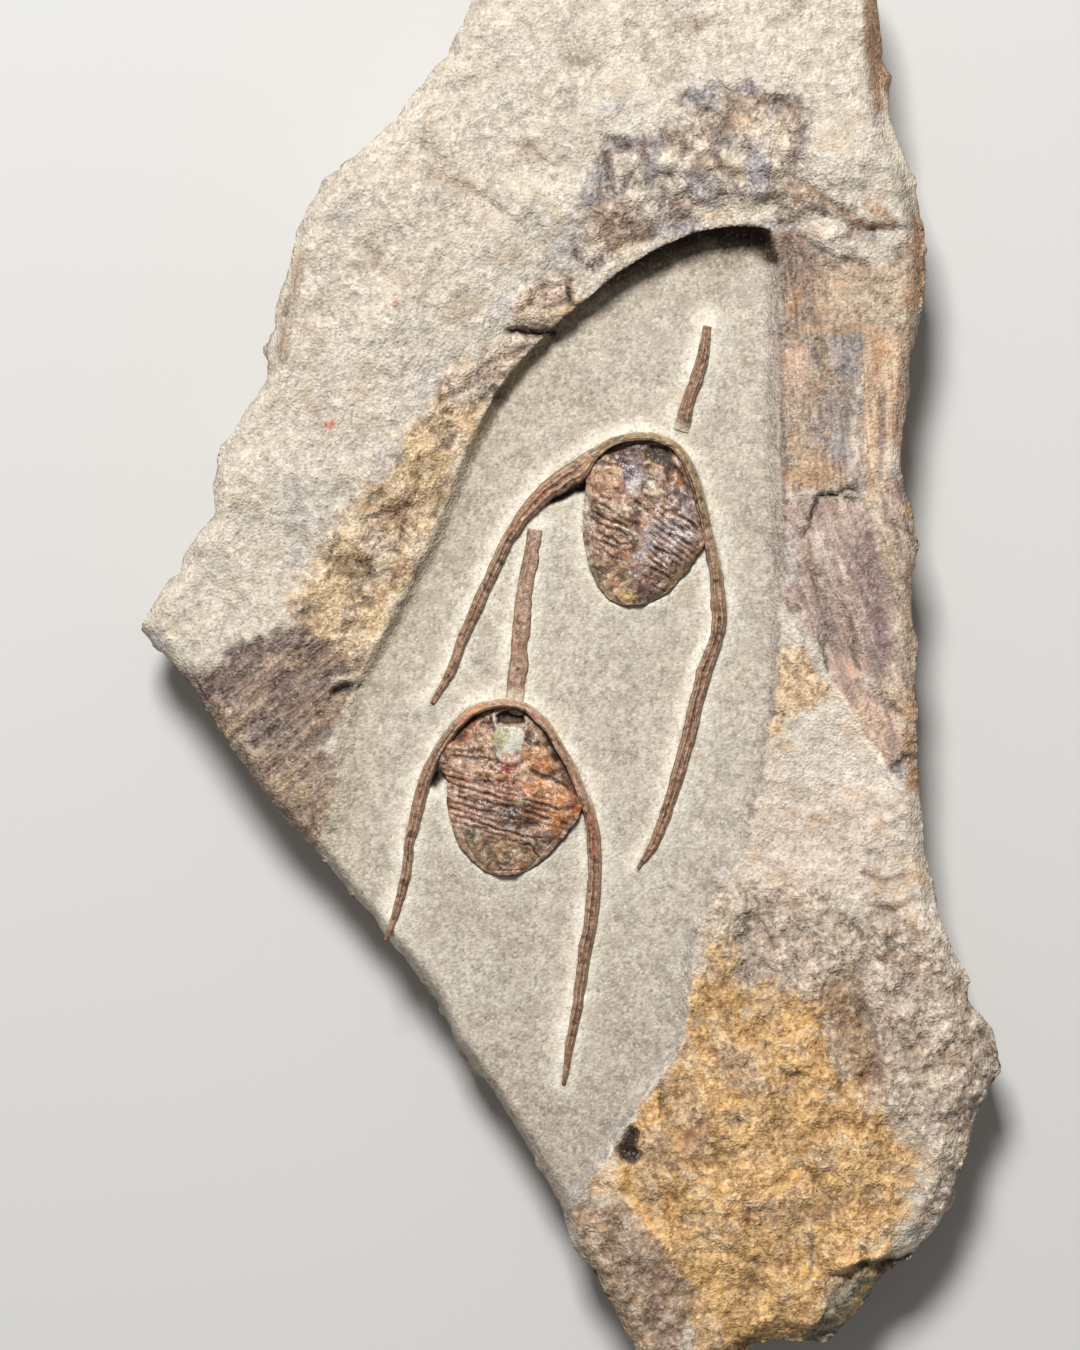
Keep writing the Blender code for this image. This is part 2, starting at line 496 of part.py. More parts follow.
def build_rib(name, stations, spacing, finish, lips=None):
    """A long solid along a curve, with its outer edge on the stations and its flat side down on the floor."""
    curve = along_curve(stations, spacing)
    tangent = np.gradient(curve[:, :2], axis=0)
    tangent /= np.hypot(*tangent.T)[:, None]
    inward = np.column_stack((tangent[:, 1], -tangent[:, 0]))
    lip = np.zeros(len(curve)) if lips is None else lips(np.linspace(0.0, 1.0, len(curve)))
    points, faces = [], []
    for place, normal, lean in zip(curve, inward, lip):
        rise = ROUND_SPINE * (1.0 - lean) + FRONT_LIP * lean
        edge = place[:2] + normal * (ACROSS * place[2])[:, None]
        base = floor_height(edge[:, 0], edge[:, 1]) + PLATE_GAP
        points += [(x, y, z + place[3] * r) for (x, y), z, r in zip(edge, base, rise)]
        points += [(*edge[-1], base[-1]), (*edge[0], base[0])]
    size = len(ACROSS) + 2
    for row in range(len(curve) - 1):
        for n in range(size):
            after = (n + 1) % size
            here, there = row * size, (row + 1) * size
            faces.append((here + n, here + after, there + after, there + n))
    faces.append(tuple(reversed(range(size))))
    faces.append(tuple(range((len(curve) - 1) * size, len(curve) * size)))
    add_object(name, points, faces, finish)


def hoop_lips(share):
    """How much the hoop leans up to its inner edge, which it does round the front of the head alone."""
    return smooth_step(*LEAN_FROM_LEFT, share) * smooth_step(*LEAN_FROM_RIGHT, 1.0 - share)


def hump(value, middle, width):
    """1 at the middle, falling to nothing within about twice the width on each side."""
    return np.exp(-(((value - middle) / width) ** 2))


def head_rise(u, v):
    """The head's height: low at its front, with domed cheeks, a sunken middle and a raised hind border."""
    cheeks = hump(u, 0.2, 0.2) + hump(u, 0.8, 0.2)
    middle = hump(u, 0.48, 0.13) * smooth_step(0.95, 0.75, v)
    rise = HEAD_FRONT + HEAD_CLIMB * smooth_step(0.0, 0.7, v) + CHEEK_RISE * cheeks
    rise = rise + BORDER_RISE * hump(v, 0.93, 0.07) - FURROW_DEPTH * hump(v, 0.8, 0.07)
    return rise - MIDDLE_DEPTH * middle


def thorax_rise(u, v):
    """The body's height: a raised axis, sides that fall to the edges, and six ridges from edge to edge."""
    sides = smooth_step(-0.05, 0.16, u) * smooth_step(-0.05, 0.16, 1.0 - u)
    ridge = np.abs(np.sin(np.pi * v * SEGMENTS)) ** 0.7
    return THORAX_EDGE + THORAX_SIDES * sides + THORAX_AXIS * hump(u, 0.5, 0.17) + THORAX_RIDGE * ridge


def tail_rise(u, v):
    """The tail's height: it carries the axis on, tapering, and ends in a low border."""
    axis = hump(u, 0.5, 0.15) * (1.0 - v)
    sides = smooth_step(-0.05, 0.3, u) * smooth_step(-0.05, 0.3, 1.0 - u) * smooth_step(1.05, 0.4, v)
    return TAIL_EDGE + TAIL_SIDES * sides + TAIL_AXIS * axis + TAIL_CLIMB * (1.0 - v)


def build_plate(name, edges, grid, rise, finish):
    """A plate of the body between its left and right edges, with its underside following the floor."""
    columns, rows = grid
    left, right = (np.asarray(edge, float) for edge in edges)
    v = np.linspace(0.0, 1.0, rows + 1)
    u = np.linspace(0.0, 1.0, columns + 1)
    left = along_curve(left, polyline_length(left) / rows)
    right = along_curve(right, polyline_length(right) / rows)
    flat = left[:, None, :] * (1.0 - u)[None, :, None] + right[:, None, :] * u[None, :, None]
    x, y = flat[..., 0], flat[..., 1]
    base = floor_height(x, y) + PLATE_GAP
    height = base + rise(*np.meshgrid(u, v))
    points = np.column_stack((x.ravel(), y.ravel(), height.ravel()))
    wide = columns + 1
    faces = []
    for row in range(rows):
        for column in range(columns):
            here = row * wide + column
            faces.append((here, here + wide, here + wide + 1, here + 1))
    loop = border_loop(faces)
    below = np.column_stack((x.ravel(), y.ravel(), base.ravel()))[loop]
    start = len(points)
    for n in range(len(loop)):
        after = (n + 1) % len(loop)
        faces.append((loop[n], start + n, start + after, loop[after]))
    faces.append(tuple(reversed(range(start, start + len(loop)))))
    add_object(name, np.vstack((points, below)), faces, finish)


def polyline_length(line):
    """The length of a line through points."""
    return float(np.hypot(*np.diff(line, axis=0).T).sum())


def build_trilobite(side, hoop, nose, head, thorax, tail, finishes):
    """One trilobite: its nose spine, its hoop with the cheek spines, and the three parts of its body."""
    made = {part: material(side + "_" + part, finish) for part, finish in finishes.items()}
    build_rib(side + "_nose_spine", nose, NOSE_SPACING, made["nose_spine"])
    build_rib(side + "_cheek_hoop", hoop, HOOP_SPACING, made["cheek_hoop"], hoop_lips)
    build_plate(side + "_head_shield", head, HEAD_GRID, head_rise, made["head_shield"])
    build_plate(side + "_thorax", thorax, THORAX_GRID, thorax_rise, made["thorax"])
    build_plate(side + "_tail_shield", tail, TAIL_GRID, tail_rise, made["tail_shield"])


def main():
    """Builds the slab and both trilobites in an empty scene."""
    for thing in list(bpy.data.objects):
        bpy.data.objects.remove(thing, do_unlink=True)
    build_slab(material("limestone", ROCK_FINISH))
    build_trilobite("upper", UPPER_HOOP, UPPER_NOSE, UPPER_HEAD, UPPER_THORAX, UPPER_TAIL, UPPER_FINISHES)
    build_trilobite("lower", LOWER_HOOP, LOWER_NOSE, LOWER_HEAD, LOWER_THORAX, LOWER_TAIL, LOWER_FINISHES)


main()
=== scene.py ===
"""The looks of two Ampyx trilobites in a rough slab of limestone.

The slab lies on its flat back with the fossils up, and its long way is along Y. Shapes are worked out in
millimetres, in the frame's own place, and MM turns them into metres where a mesh is made. Colours are written
as they look under the light, from 0 to 255, and seen() turns them into what a shader needs.
"""

import math

import bpy
import numpy as np
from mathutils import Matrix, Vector
from mathutils.geometry import delaunay_2d_cdt


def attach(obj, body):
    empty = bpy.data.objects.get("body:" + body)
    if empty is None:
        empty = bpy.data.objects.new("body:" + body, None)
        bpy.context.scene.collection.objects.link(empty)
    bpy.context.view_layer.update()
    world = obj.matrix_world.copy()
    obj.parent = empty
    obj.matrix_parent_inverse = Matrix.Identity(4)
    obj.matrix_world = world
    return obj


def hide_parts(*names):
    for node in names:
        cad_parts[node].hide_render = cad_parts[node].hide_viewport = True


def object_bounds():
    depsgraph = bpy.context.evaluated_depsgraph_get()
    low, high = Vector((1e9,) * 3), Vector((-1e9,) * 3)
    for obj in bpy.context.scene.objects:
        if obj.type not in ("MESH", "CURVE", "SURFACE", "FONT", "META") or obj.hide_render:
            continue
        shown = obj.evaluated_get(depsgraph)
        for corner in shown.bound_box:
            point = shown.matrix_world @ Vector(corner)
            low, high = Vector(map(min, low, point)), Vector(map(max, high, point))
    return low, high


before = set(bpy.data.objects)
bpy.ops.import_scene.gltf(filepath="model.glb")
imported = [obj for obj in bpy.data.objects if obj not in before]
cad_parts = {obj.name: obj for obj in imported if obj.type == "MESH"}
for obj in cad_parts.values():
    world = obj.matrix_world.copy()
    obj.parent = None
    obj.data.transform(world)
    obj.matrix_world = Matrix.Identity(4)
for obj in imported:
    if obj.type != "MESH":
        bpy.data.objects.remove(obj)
cad_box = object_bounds()

MM = 0.001

# Heights above the flat back, and how far the fossils' edges reach down into the rock
FLOOR_HEIGHT = 15.5
FLOOR_SWELL = 0.15
FLOOR_SWELL_SIZE = 26.0
PLATE_GAP = 0.3
SUNK = 0.5

# How much the rock swells up beside the fossils, and how far beside them
FOSSIL_SWELL = 0.45
SWELL_REACH = 1.1

# Spacing of the points of the slab's surface
ROUGH_SPACING = 0.4
FLOOR_SPACING = 0.62
OUTLINE_SPACING = 0.8
SIDE_ROWS = 22
COARSE_SPACING = 3.4
RIM_SPACING = 1.2

# The points' triangular pattern, as shares of their spacing: how far apart its rows are, how uneven it is,
# and how clear of edges and lines
ROW_SHARE = 0.866
UNEVEN_SHARE = 0.2
CLEAR_SHARE = 0.5

# The slab's sides, from the top edge down: share of the height left, and how far in the side has gone
SIDE_RINGS = ((1.0, 0.0), (0.78, 0.2), (0.52, 0.9), (0.25, 1.3), (0.07, 2.0), (0.0, 2.8))
SIDE_LUMP = 0.7
SIDE_SMOOTHING = 4.0

# The broken outline seen from above, clockwise from the top left corner
LEFT_EDGE = (
    (0.0, -76.0), (-2.0, -69.5), (-6.0, -63.0), (-10.5, -56.0), (-15.0, -50.0), (-17.0, -45.0),
    (-21.0, -40.0), (-24.0, -36.5), (-25.0, -34.5), (-28.0, -32.0), (-29.5, -29.5), (-32.5, -26.0),
    (-37.5, -21.0), (-41.0, -16.0), (-46.5, -7.5), (-50.0, -2.5), (-54.0, 2.0), (-53.5, 3.5),
    (-50.5, 8.0), (-49.0, 8.5), (-48.5, 11.0), (-46.5, 14.0), (-44.5, 16.0), (-45.0, 19.0),
    (-44.0, 24.0), (-40.5, 29.5), (-38.0, 32.5), (-38.0, 35.0), (-37.0, 41.5), (-36.0, 45.0),
    (-34.0, 52.0), (-31.0, 57.0), (-28.0, 59.5), (-22.0, 65.0), (-18.5, 69.0), (-15.5, 72.5),
)
TOP_EDGE = (
    (-12.5, 80.0), (-11.5, 84.0), (-10.5, 87.0), (-6.5, 90.0), (-0.5, 91.0), (8.5, 90.5), (16.0, 92.0),
    (24.5, 91.5), (32.0, 90.0), (36.0, 87.5), (37.5, 84.0),
)
RIGHT_EDGE = (
    (38.0, 80.0), (38.5, 75.5), (38.0, 72.5), (39.5, 65.5), (40.5, 62.5), (43.0, 57.5), (43.0, 55.0),
    (44.0, 49.0), (43.5, 40.5), (42.0, 34.0), (41.0, 24.0), (41.0, 21.5), (43.5, 12.0), (42.5, 8.5),
    (43.0, -3.5), (43.0, -11.0), (44.0, -26.5), (45.0, -29.0), (46.0, -35.0), (50.0, -42.5),
    (49.5, -44.5), (52.5, -48.5), (54.0, -53.5), (51.5, -58.0), (49.5, -63.5), (47.0, -71.0),
    (42.5, -77.5), (39.5, -79.0), (35.5, -85.0),
)
BOTTOM_EDGE = (
    (32.0, -88.0), (24.5, -87.5), (20.0, -90.0), (14.5, -92.0), (9.5, -91.5), (6.5, -86.0), (3.5, -80.0),
)

# The hollow's rim, clockwise from the lower left edge: x, y, how wide the wall is there and how high the rim
HOLLOW_RIM = (
    (-32.5, -27.0, 3.0, 15.6), (-30.0, -20.0, 3.0, 15.7), (-29.0, -10.0, 2.6, 15.9), (-27.5, -6.0, 1.6, 16.3),
    (-25.0, -1.0, 1.6, 16.7), (-19.0, 10.0, 1.6, 17.0), (-13.5, 23.5, 1.6, 17.5), (-10.5, 29.5, 1.6, 18.0),
    (-6.5, 35.0, 1.6, 18.5), (-2.5, 39.0, 1.5, 19.0), (1.0, 42.0, 1.4, 19.4), (6.0, 46.0, 1.3, 19.8),
    (11.0, 49.0, 1.2, 20.0), (16.0, 51.0, 1.2, 20.1), (21.0, 51.5, 1.2, 19.9), (24.6, 51.0, 1.3, 19.2),
    (25.5, 48.0, 2.0, 18.4), (25.5, 30.0, 2.2, 17.5), (26.0, 17.5, 2.2, 17.2), (26.0, 5.0, 2.0, 16.9),
    (25.5, -5.0, 2.0, 16.7), (24.5, -12.5, 2.2, 16.5), (23.0, -20.0, 2.5, 16.4), (21.0, -27.5, 2.5, 16.3),
    (18.0, -31.0, 2.2, 16.3), (15.5, -36.0, 1.8, 16.5), (14.5, -45.0, 1.6, 16.6), (14.0, -50.0, 1.6, 16.6),
    (12.0, -53.0, 1.6, 16.5), (7.5, -59.0, 1.6, 16.4), (3.5, -65.5, 1.4, 16.2), (-1.5, -73.5, 1.2, 15.9),
)
RIM_REACH = 5.0
WALL_CURVE = 1.6

# Where along the rim, from 0 to 1, it overhangs, and how far its foot is set back there
UNDERCUT = ((0.24, 0.0), (0.34, 0.9), (0.40, 1.5), (0.435, 1.5), (0.45, 0.0))
UNDERCUT_WAY = (-0.45, 0.89)

# Where along the rim a shadow is painted at the foot of the wall, and how far that reaches
RIM_SHADOW = ((0.20, 0.0), (0.28, 0.2), (0.35, 0.9), (0.39, 2.3), (0.425, 3.3), (0.45, 2.8), (0.462, 0.0))
HOLLOW_CLOSE = ((-10.0, -80.0), (-45.0, -35.0))

# Heights of the broken top at chosen spots: x, y, height
TOP_SPOTS = (
    (-36.0, 38.0, 19.6), (-32.0, 50.0, 20.4), (-26.0, 40.0, 21.6), (-20.0, 58.0, 21.8), (-14.0, 45.0, 21.9),
    (-10.0, 72.0, 22.0), (-2.0, 58.0, 22.1), (-3.0, 85.0, 21.9), (10.0, 74.0, 22.2), (20.0, 85.0, 22.3),
    (33.0, 82.0, 21.9), (30.0, 70.0, 22.3), (12.0, 58.0, 22.3), (18.0, 55.0, 21.6), (26.0, 56.0, 21.8),
    (36.0, 60.0, 22.0), (41.0, 54.0, 20.4), (-22.0, 27.0, 20.6), (-11.0, 33.0, 19.6), (0.0, 44.0, 20.8),
    (-31.0, 22.0, 19.6), (-38.0, 24.0, 18.8), (-17.0, 19.0, 18.7), (-42.0, 14.0, 18.0), (-33.0, 10.0, 18.5),
    (-24.0, 7.0, 18.0), (-50.0, 4.0, 16.6), (-41.0, 0.0, 17.3), (-31.0, 0.0, 17.4), (-37.0, -12.0, 16.9),
    (-31.0, -12.0, 16.6), (-33.0, -22.0, 15.9), (28.0, 47.0, 19.2), (36.0, 45.0, 18.9), (42.0, 43.0, 18.0),
    (30.0, 33.0, 18.8), (38.0, 30.0, 18.2), (29.0, 20.0, 18.6), (37.0, 17.0, 18.3), (42.0, 8.0, 17.4),
    (30.0, 6.0, 18.2), (36.0, 3.0, 18.0), (29.0, -3.0, 17.7), (41.0, -4.0, 17.3), (27.0, -12.0, 17.0),
    (33.0, -16.0, 16.9), (41.0, -14.0, 17.2), (24.0, -24.0, 16.3), (33.0, -24.0, 16.5), (42.0, -28.0, 16.5),
    (19.0, -34.0, 16.4), (27.0, -35.0, 17.3), (37.0, -38.0, 18.0), (47.0, -42.0, 16.8), (17.0, -46.0, 17.4),
    (28.0, -48.0, 17.9), (39.0, -52.0, 18.2), (50.0, -54.0, 16.2), (12.0, -58.0, 17.4), (23.0, -60.0, 17.9),
    (34.0, -65.0, 17.8), (45.0, -68.0, 16.4), (4.0, -69.0, 16.8), (14.0, -72.0, 17.4), (26.0, -76.0, 17.4),
    (36.0, -80.0, 16.4), (10.0, -84.0, 16.4), (22.0, -87.0, 16.2),
)
SPOT_REACH = 7.5

# Rounding of the top edge at chosen places: x, y, width, drop
EDGE_SPOTS = (
    (-35.0, 45.0, 2.5, 1.8), (-20.0, 68.0, 2.0, 1.5), (10.0, 92.0, 2.0, 2.0), (38.0, 76.0, 2.4, 4.5),
    (41.0, 61.0, 3.4, 4.0), (44.0, 48.0, 2.0, 3.0), (42.0, 25.0, 1.6, 1.8), (43.0, 0.0, 1.6, 1.6),
    (44.0, -25.0, 2.0, 2.0), (51.0, -48.0, 4.0, 2.5), (46.0, -72.0, 3.0, 2.5), (34.0, -86.0, 3.0, 3.0),
    (14.0, -92.0, 2.0, 2.0), (0.0, -74.0, 1.6, 3.0), (-15.0, -50.0, 1.4, 3.5), (-30.0, -29.0, 1.4, 3.0),
    (-42.0, -14.0, 1.6, 1.8), (-53.0, 2.0, 2.0, 1.8), (-45.0, 18.0, 2.0, 1.6),
)
EDGE_REACH = 12.0
EDGE_CURVE = 1.5

# Broken ledges: height of the step, how far its lift reaches, and its line with the high side on the right
LEDGES = (
    (0.8, 5.0, ((43.5, 51.5), (37.5, 51.5), (33.0, 52.5), (29.5, 54.0), (25.5, 56.0))),
    (0.5, 4.0, ((38.0, 47.5), (34.0, 47.5), (31.0, 49.0), (27.0, 51.0))),
    (1.2, 3.0, ((-2.0, 37.7), (-5.0, 38.5), (-8.5, 38.5))),
    (0.9, 4.0, ((36.5, 17.5), (32.0, 18.7), (26.5, 18.5))),
    (1.2, 4.0, ((36.5, -3.0), (34.0, 4.0), (30.0, 11.0))),
    (0.5, 4.0, ((41.5, -17.0), (39.5, -14.5), (36.0, -11.0), (32.0, -5.0))),
    (1.0, 5.0, ((38.5, -59.0), (38.0, -50.5), (36.5, -44.5))),
    (1.6, 4.0, ((40.0, -78.0), (36.0, -77.5), (32.5, -79.0))),
    (0.4, 4.0, ((-5.0, 51.0), (-11.0, 55.0), (-15.4, 57.7), (-18.4, 64.5))),
    (0.5, 3.0, ((-2.0, 58.5), (-4.5, 60.5), (-6.0, 63.0))),
    (0.8, 3.0, ((-18.0, 17.5), (-22.0, 16.6), (-27.0, 15.0))),
    (0.7, 1.6, ((-36.6, 34.5), (-35.4, 42.0), (-33.2, 50.0))),
    (0.7, 2.0, ((-26.4, -5.2), (-28.6, -5.4), (-31.0, -6.2))),
    (0.9, 3.0, ((-2.4, 38.0), (-5.4, 36.4), (-7.6, 33.6))),
    (0.9, 3.0, ((5.6, 47.2), (2.2, 44.6), (-1.0, 41.4))),
)
LEDGE_WIDTH = 0.5

# How much of a line's length, at each end, its ledge or mark takes to fade
LINE_ENDS = 0.15

# Knobs and lumps: x, y, radius along X, radius along Y, height
LUMPS = (
    (10.0, 59.0, 4.5, 4.0, 0.3), (16.5, 63.0, 4.0, 4.5, 0.4), (23.0, 62.5, 3.5, 5.0, 0.4),
    (15.0, 56.5, 4.0, 3.0, 0.4), (21.5, 56.0, 3.5, 3.5, 0.5), (4.0, 53.5, 4.0, 4.0, 0.5),
    (-7.0, 41.0, 3.5, 3.5, 0.8), (-12.0, 35.0, 4.5, 3.5, 0.8), (-16.5, 29.0, 4.0, 3.0, 0.7),
    (-22.0, 20.0, 4.0, 5.0, 0.7), (-30.0, 14.0, 5.0, 4.0, 0.8), (-36.0, 4.0, 6.0, 4.0, 0.7),
    (29.5, 36.0, 4.0, 6.0, 0.6), (34.5, 33.0, 3.0, 5.0, 0.7), (34.0, 10.0, 3.0, 6.0, 0.6),
    (28.5, 2.0, 3.0, 4.0, 0.6), (44.0, -38.0, 5.0, 4.0, 0.8), (30.0, -45.0, 6.0, 5.0, 0.7),
    (22.0, -56.0, 6.0, 5.0, 0.7), (33.0, -57.0, 5.0, 5.0, 0.8), (20.0, -70.0, 6.0, 5.0, 0.7),
    (46.0, -58.0, 4.0, 4.0, 0.8), (12.0, -66.0, 3.5, 3.0, 0.8), (28.0, -82.0, 5.0, 4.0, 0.7),
)
LUMP_STEEPNESS = 1.5

# Cracks in the rock: depth, half width, line
CRACKS = (
    (1.4, 0.26, (
        (-8.8, 38.5), (-8.0, 38.6), (-6.9, 38.9), (-5.6, 38.4), (-4.2, 38.3), (-3.0, 38.6), (-1.4, 37.8))),
    (1.0, 0.16, ((-0.8, 44.5), (-0.2, 42.0), (1.5, 41.5))),
    (1.0, 0.14, (
        (28.6, 12.2), (29.2, 14.0), (29.8, 15.8), (30.6, 18.2), (33.2, 18.4), (34.4, 19.2), (36.4, 18.0))),
    (0.7, 0.13, ((31.9, 1.0), (31.2, -0.6), (31.6, -2.4), (31.9, -4.4))),
    (0.25, 0.10, ((26.0, 56.5), (28.5, 57.0), (30.2, 55.6), (33.0, 53.8), (36.0, 52.2), (38.4, 51.4))),
    (0.35, 0.12, ((27.0, 51.0), (29.0, 50.2), (31.0, 48.5), (33.0, 47.8), (35.0, 47.5))),
    (0.6, 0.16, ((35.5, 0.5), (35.0, -1.0), (36.0, -3.8))),
    (0.5, 0.14, ((41.5, -7.2), (40.0, -8.0), (41.5, -9.5))),
    (0.6, 0.16, ((-17.0, 30.0), (-15.5, 30.0), (-14.5, 31.2))),
    (0.6, 0.16, ((-12.0, 30.5), (-10.5, 30.0), (-8.5, 30.8))),
    (0.6, 0.16, ((38.5, -77.5), (41.0, -77.8), (42.5, -77.0))),
    (0.35, 0.08, ((27.0, 5.2), (28.5, 3.8), (28.0, 2.0), (29.0, 0.2), (28.5, -1.8), (29.5, -3.0))),
    (0.3, 0.06, ((26.4, -2.2), (27.6, -4.4), (29.4, -5.2), (30.4, -7.4))),
    (0.3, 0.06, ((27.4, -7.8), (28.6, -6.0), (27.6, -4.4))),
    (0.5, 0.12, ((39.5, 15.0), (41.5, 14.0), (43.0, 12.8))),
    (0.6, 0.13, ((40.2, -15.6), (41.6, -14.2), (43.4, -14.6))),
    (0.5, 0.12, ((-31.6, -24.4), (-30.2, -23.8), (-28.6, -24.2))),
)
CRACK_BEND = 0.22

# How a stretch of rock looks: its light, its dark and its stain
FINISHES = {
    "sand": ((230, 219, 203), (180, 167, 149), (192, 174, 148)),
    "knobs": ((214, 202, 190), (110, 96, 88), (140, 116, 96)),
    "knob_brown": ((190, 166, 146), (90, 70, 58), (130, 104, 80)),
    "knob_blue": ((190, 180, 178), (88, 80, 84), (124, 108, 98)),
    "knob_pale": ((240, 228, 206), (176, 158, 138), (206, 180, 144)),
    "knob_violet": ((192, 184, 184), (112, 102, 108), (126, 114, 114)),
    "smudge": ((204, 188, 166), (140, 122, 102), (168, 142, 114)),
    "bruise": ((218, 210, 202), (158, 149, 143), (182, 170, 160)),
    "brown_band": ((236, 214, 192), (134, 110, 90), (188, 154, 122)),
    "ochre_band": ((236, 210, 170), (146, 116, 86), (212, 176, 126)),
    "umber_band": ((208, 178, 142), (116, 86, 60), (176, 136, 92)),
    "yellow": ((242, 204, 146), (154, 112, 64), (224, 174, 98)),
    "gold_band": ((236, 210, 168), (152, 122, 86), (216, 180, 128)),
    "slate": ((172, 160, 148), (92, 84, 80), (128, 114, 102)),
    # A painted highlight: pale cream where a face or edge catches the light.
    "cream_highlight": ((250, 240, 220), (228, 210, 184), (242, 222, 192)),
    # Painted shade in creases.
    "crease_shade": ((128, 106, 90), (58, 44, 36), (92, 72, 56)),
    "purple": ((168, 147, 134), (70, 56, 52), (126, 102, 82)),
    "tan": ((182, 160, 140), (84, 66, 55), (134, 106, 82)),
    "floor": ((219, 208, 191), (163, 151, 135), (172, 158, 143)),
    "floor_shade": ((206, 194, 172), (150, 138, 118), (166, 150, 126)),
    "floor_low": ((206, 192, 174), (146, 132, 116), (162, 146, 130)),
    "cove": ((196, 185, 172), (136, 125, 115), (156, 142, 130)),
    "cove_low": ((198, 188, 176), (138, 130, 120), (164, 152, 140)),
    "halo": ((246, 240, 224), (216, 204, 184), (214, 200, 172)),
    # Painted contact shadow on the rock round the fossils.
    "contact_shade": ((150, 132, 104), (84, 66, 46), (110, 88, 60)),
    # Painted shade on the hollow's walls and under its rim.
    "wall": ((180, 164, 140), (96, 82, 62), (130, 110, 80)),
    "strip": ((202, 183, 160), (124, 102, 82), (180, 142, 106)),
    "strip_dark": ((172, 151, 135), (92, 72, 60), (128, 94, 72)),
    "strip_cream": ((218, 199, 174), (144, 120, 96), (186, 150, 118)),
    "strip_blue": ((180, 169, 162), (104, 93, 90), (144, 124, 106)),
    "strip_orange": ((234, 208, 178), (170, 136, 106), (204, 160, 118)),
    "mauve": ((210, 188, 173), (134, 110, 98), (172, 138, 120)),
    "mauve_dark": ((182, 160, 150), (122, 100, 94), (142, 114, 104)),
    "honey": ((240, 216, 180), (180, 140, 98), (214, 168, 110)),
    "rib": ((226, 198, 174), (172, 138, 116), (202, 158, 132)),
    "facet": ((238, 226, 212), (196, 180, 162), (206, 180, 150)),
    "grey": ((232, 217, 200), (184, 166, 148), (180, 150, 120)),
    "rough_grey": ((218, 200, 180), (128, 108, 90), (162, 134, 106)),
    "ochre_field": ((242, 196, 132), (146, 104, 58), (218, 164, 86)),
    "dark_step": ((190, 158, 126), (118, 88, 62), (140, 100, 66)),
    "lower_left": ((196, 168, 140), (116, 92, 70), (190, 150, 100)),
    "lower_dark": ((170, 142, 120), (96, 74, 58), (130, 100, 76)),
    "green": ((156, 146, 124), (62, 54, 44), (136, 122, 82)),
    "rust": ((208, 172, 138), (128, 94, 68), (184, 138, 98)),
    "red_spot": ((212, 150, 120), (160, 92, 66), (190, 120, 90)),
    "side": ((206, 190, 170), (122, 102, 84), (168, 126, 88)),
    # Painted shade, near black, in cracks and pits and under the top rim.
    "deep_shade": ((70, 52, 40), (34, 24, 18), (50, 36, 28)),
}

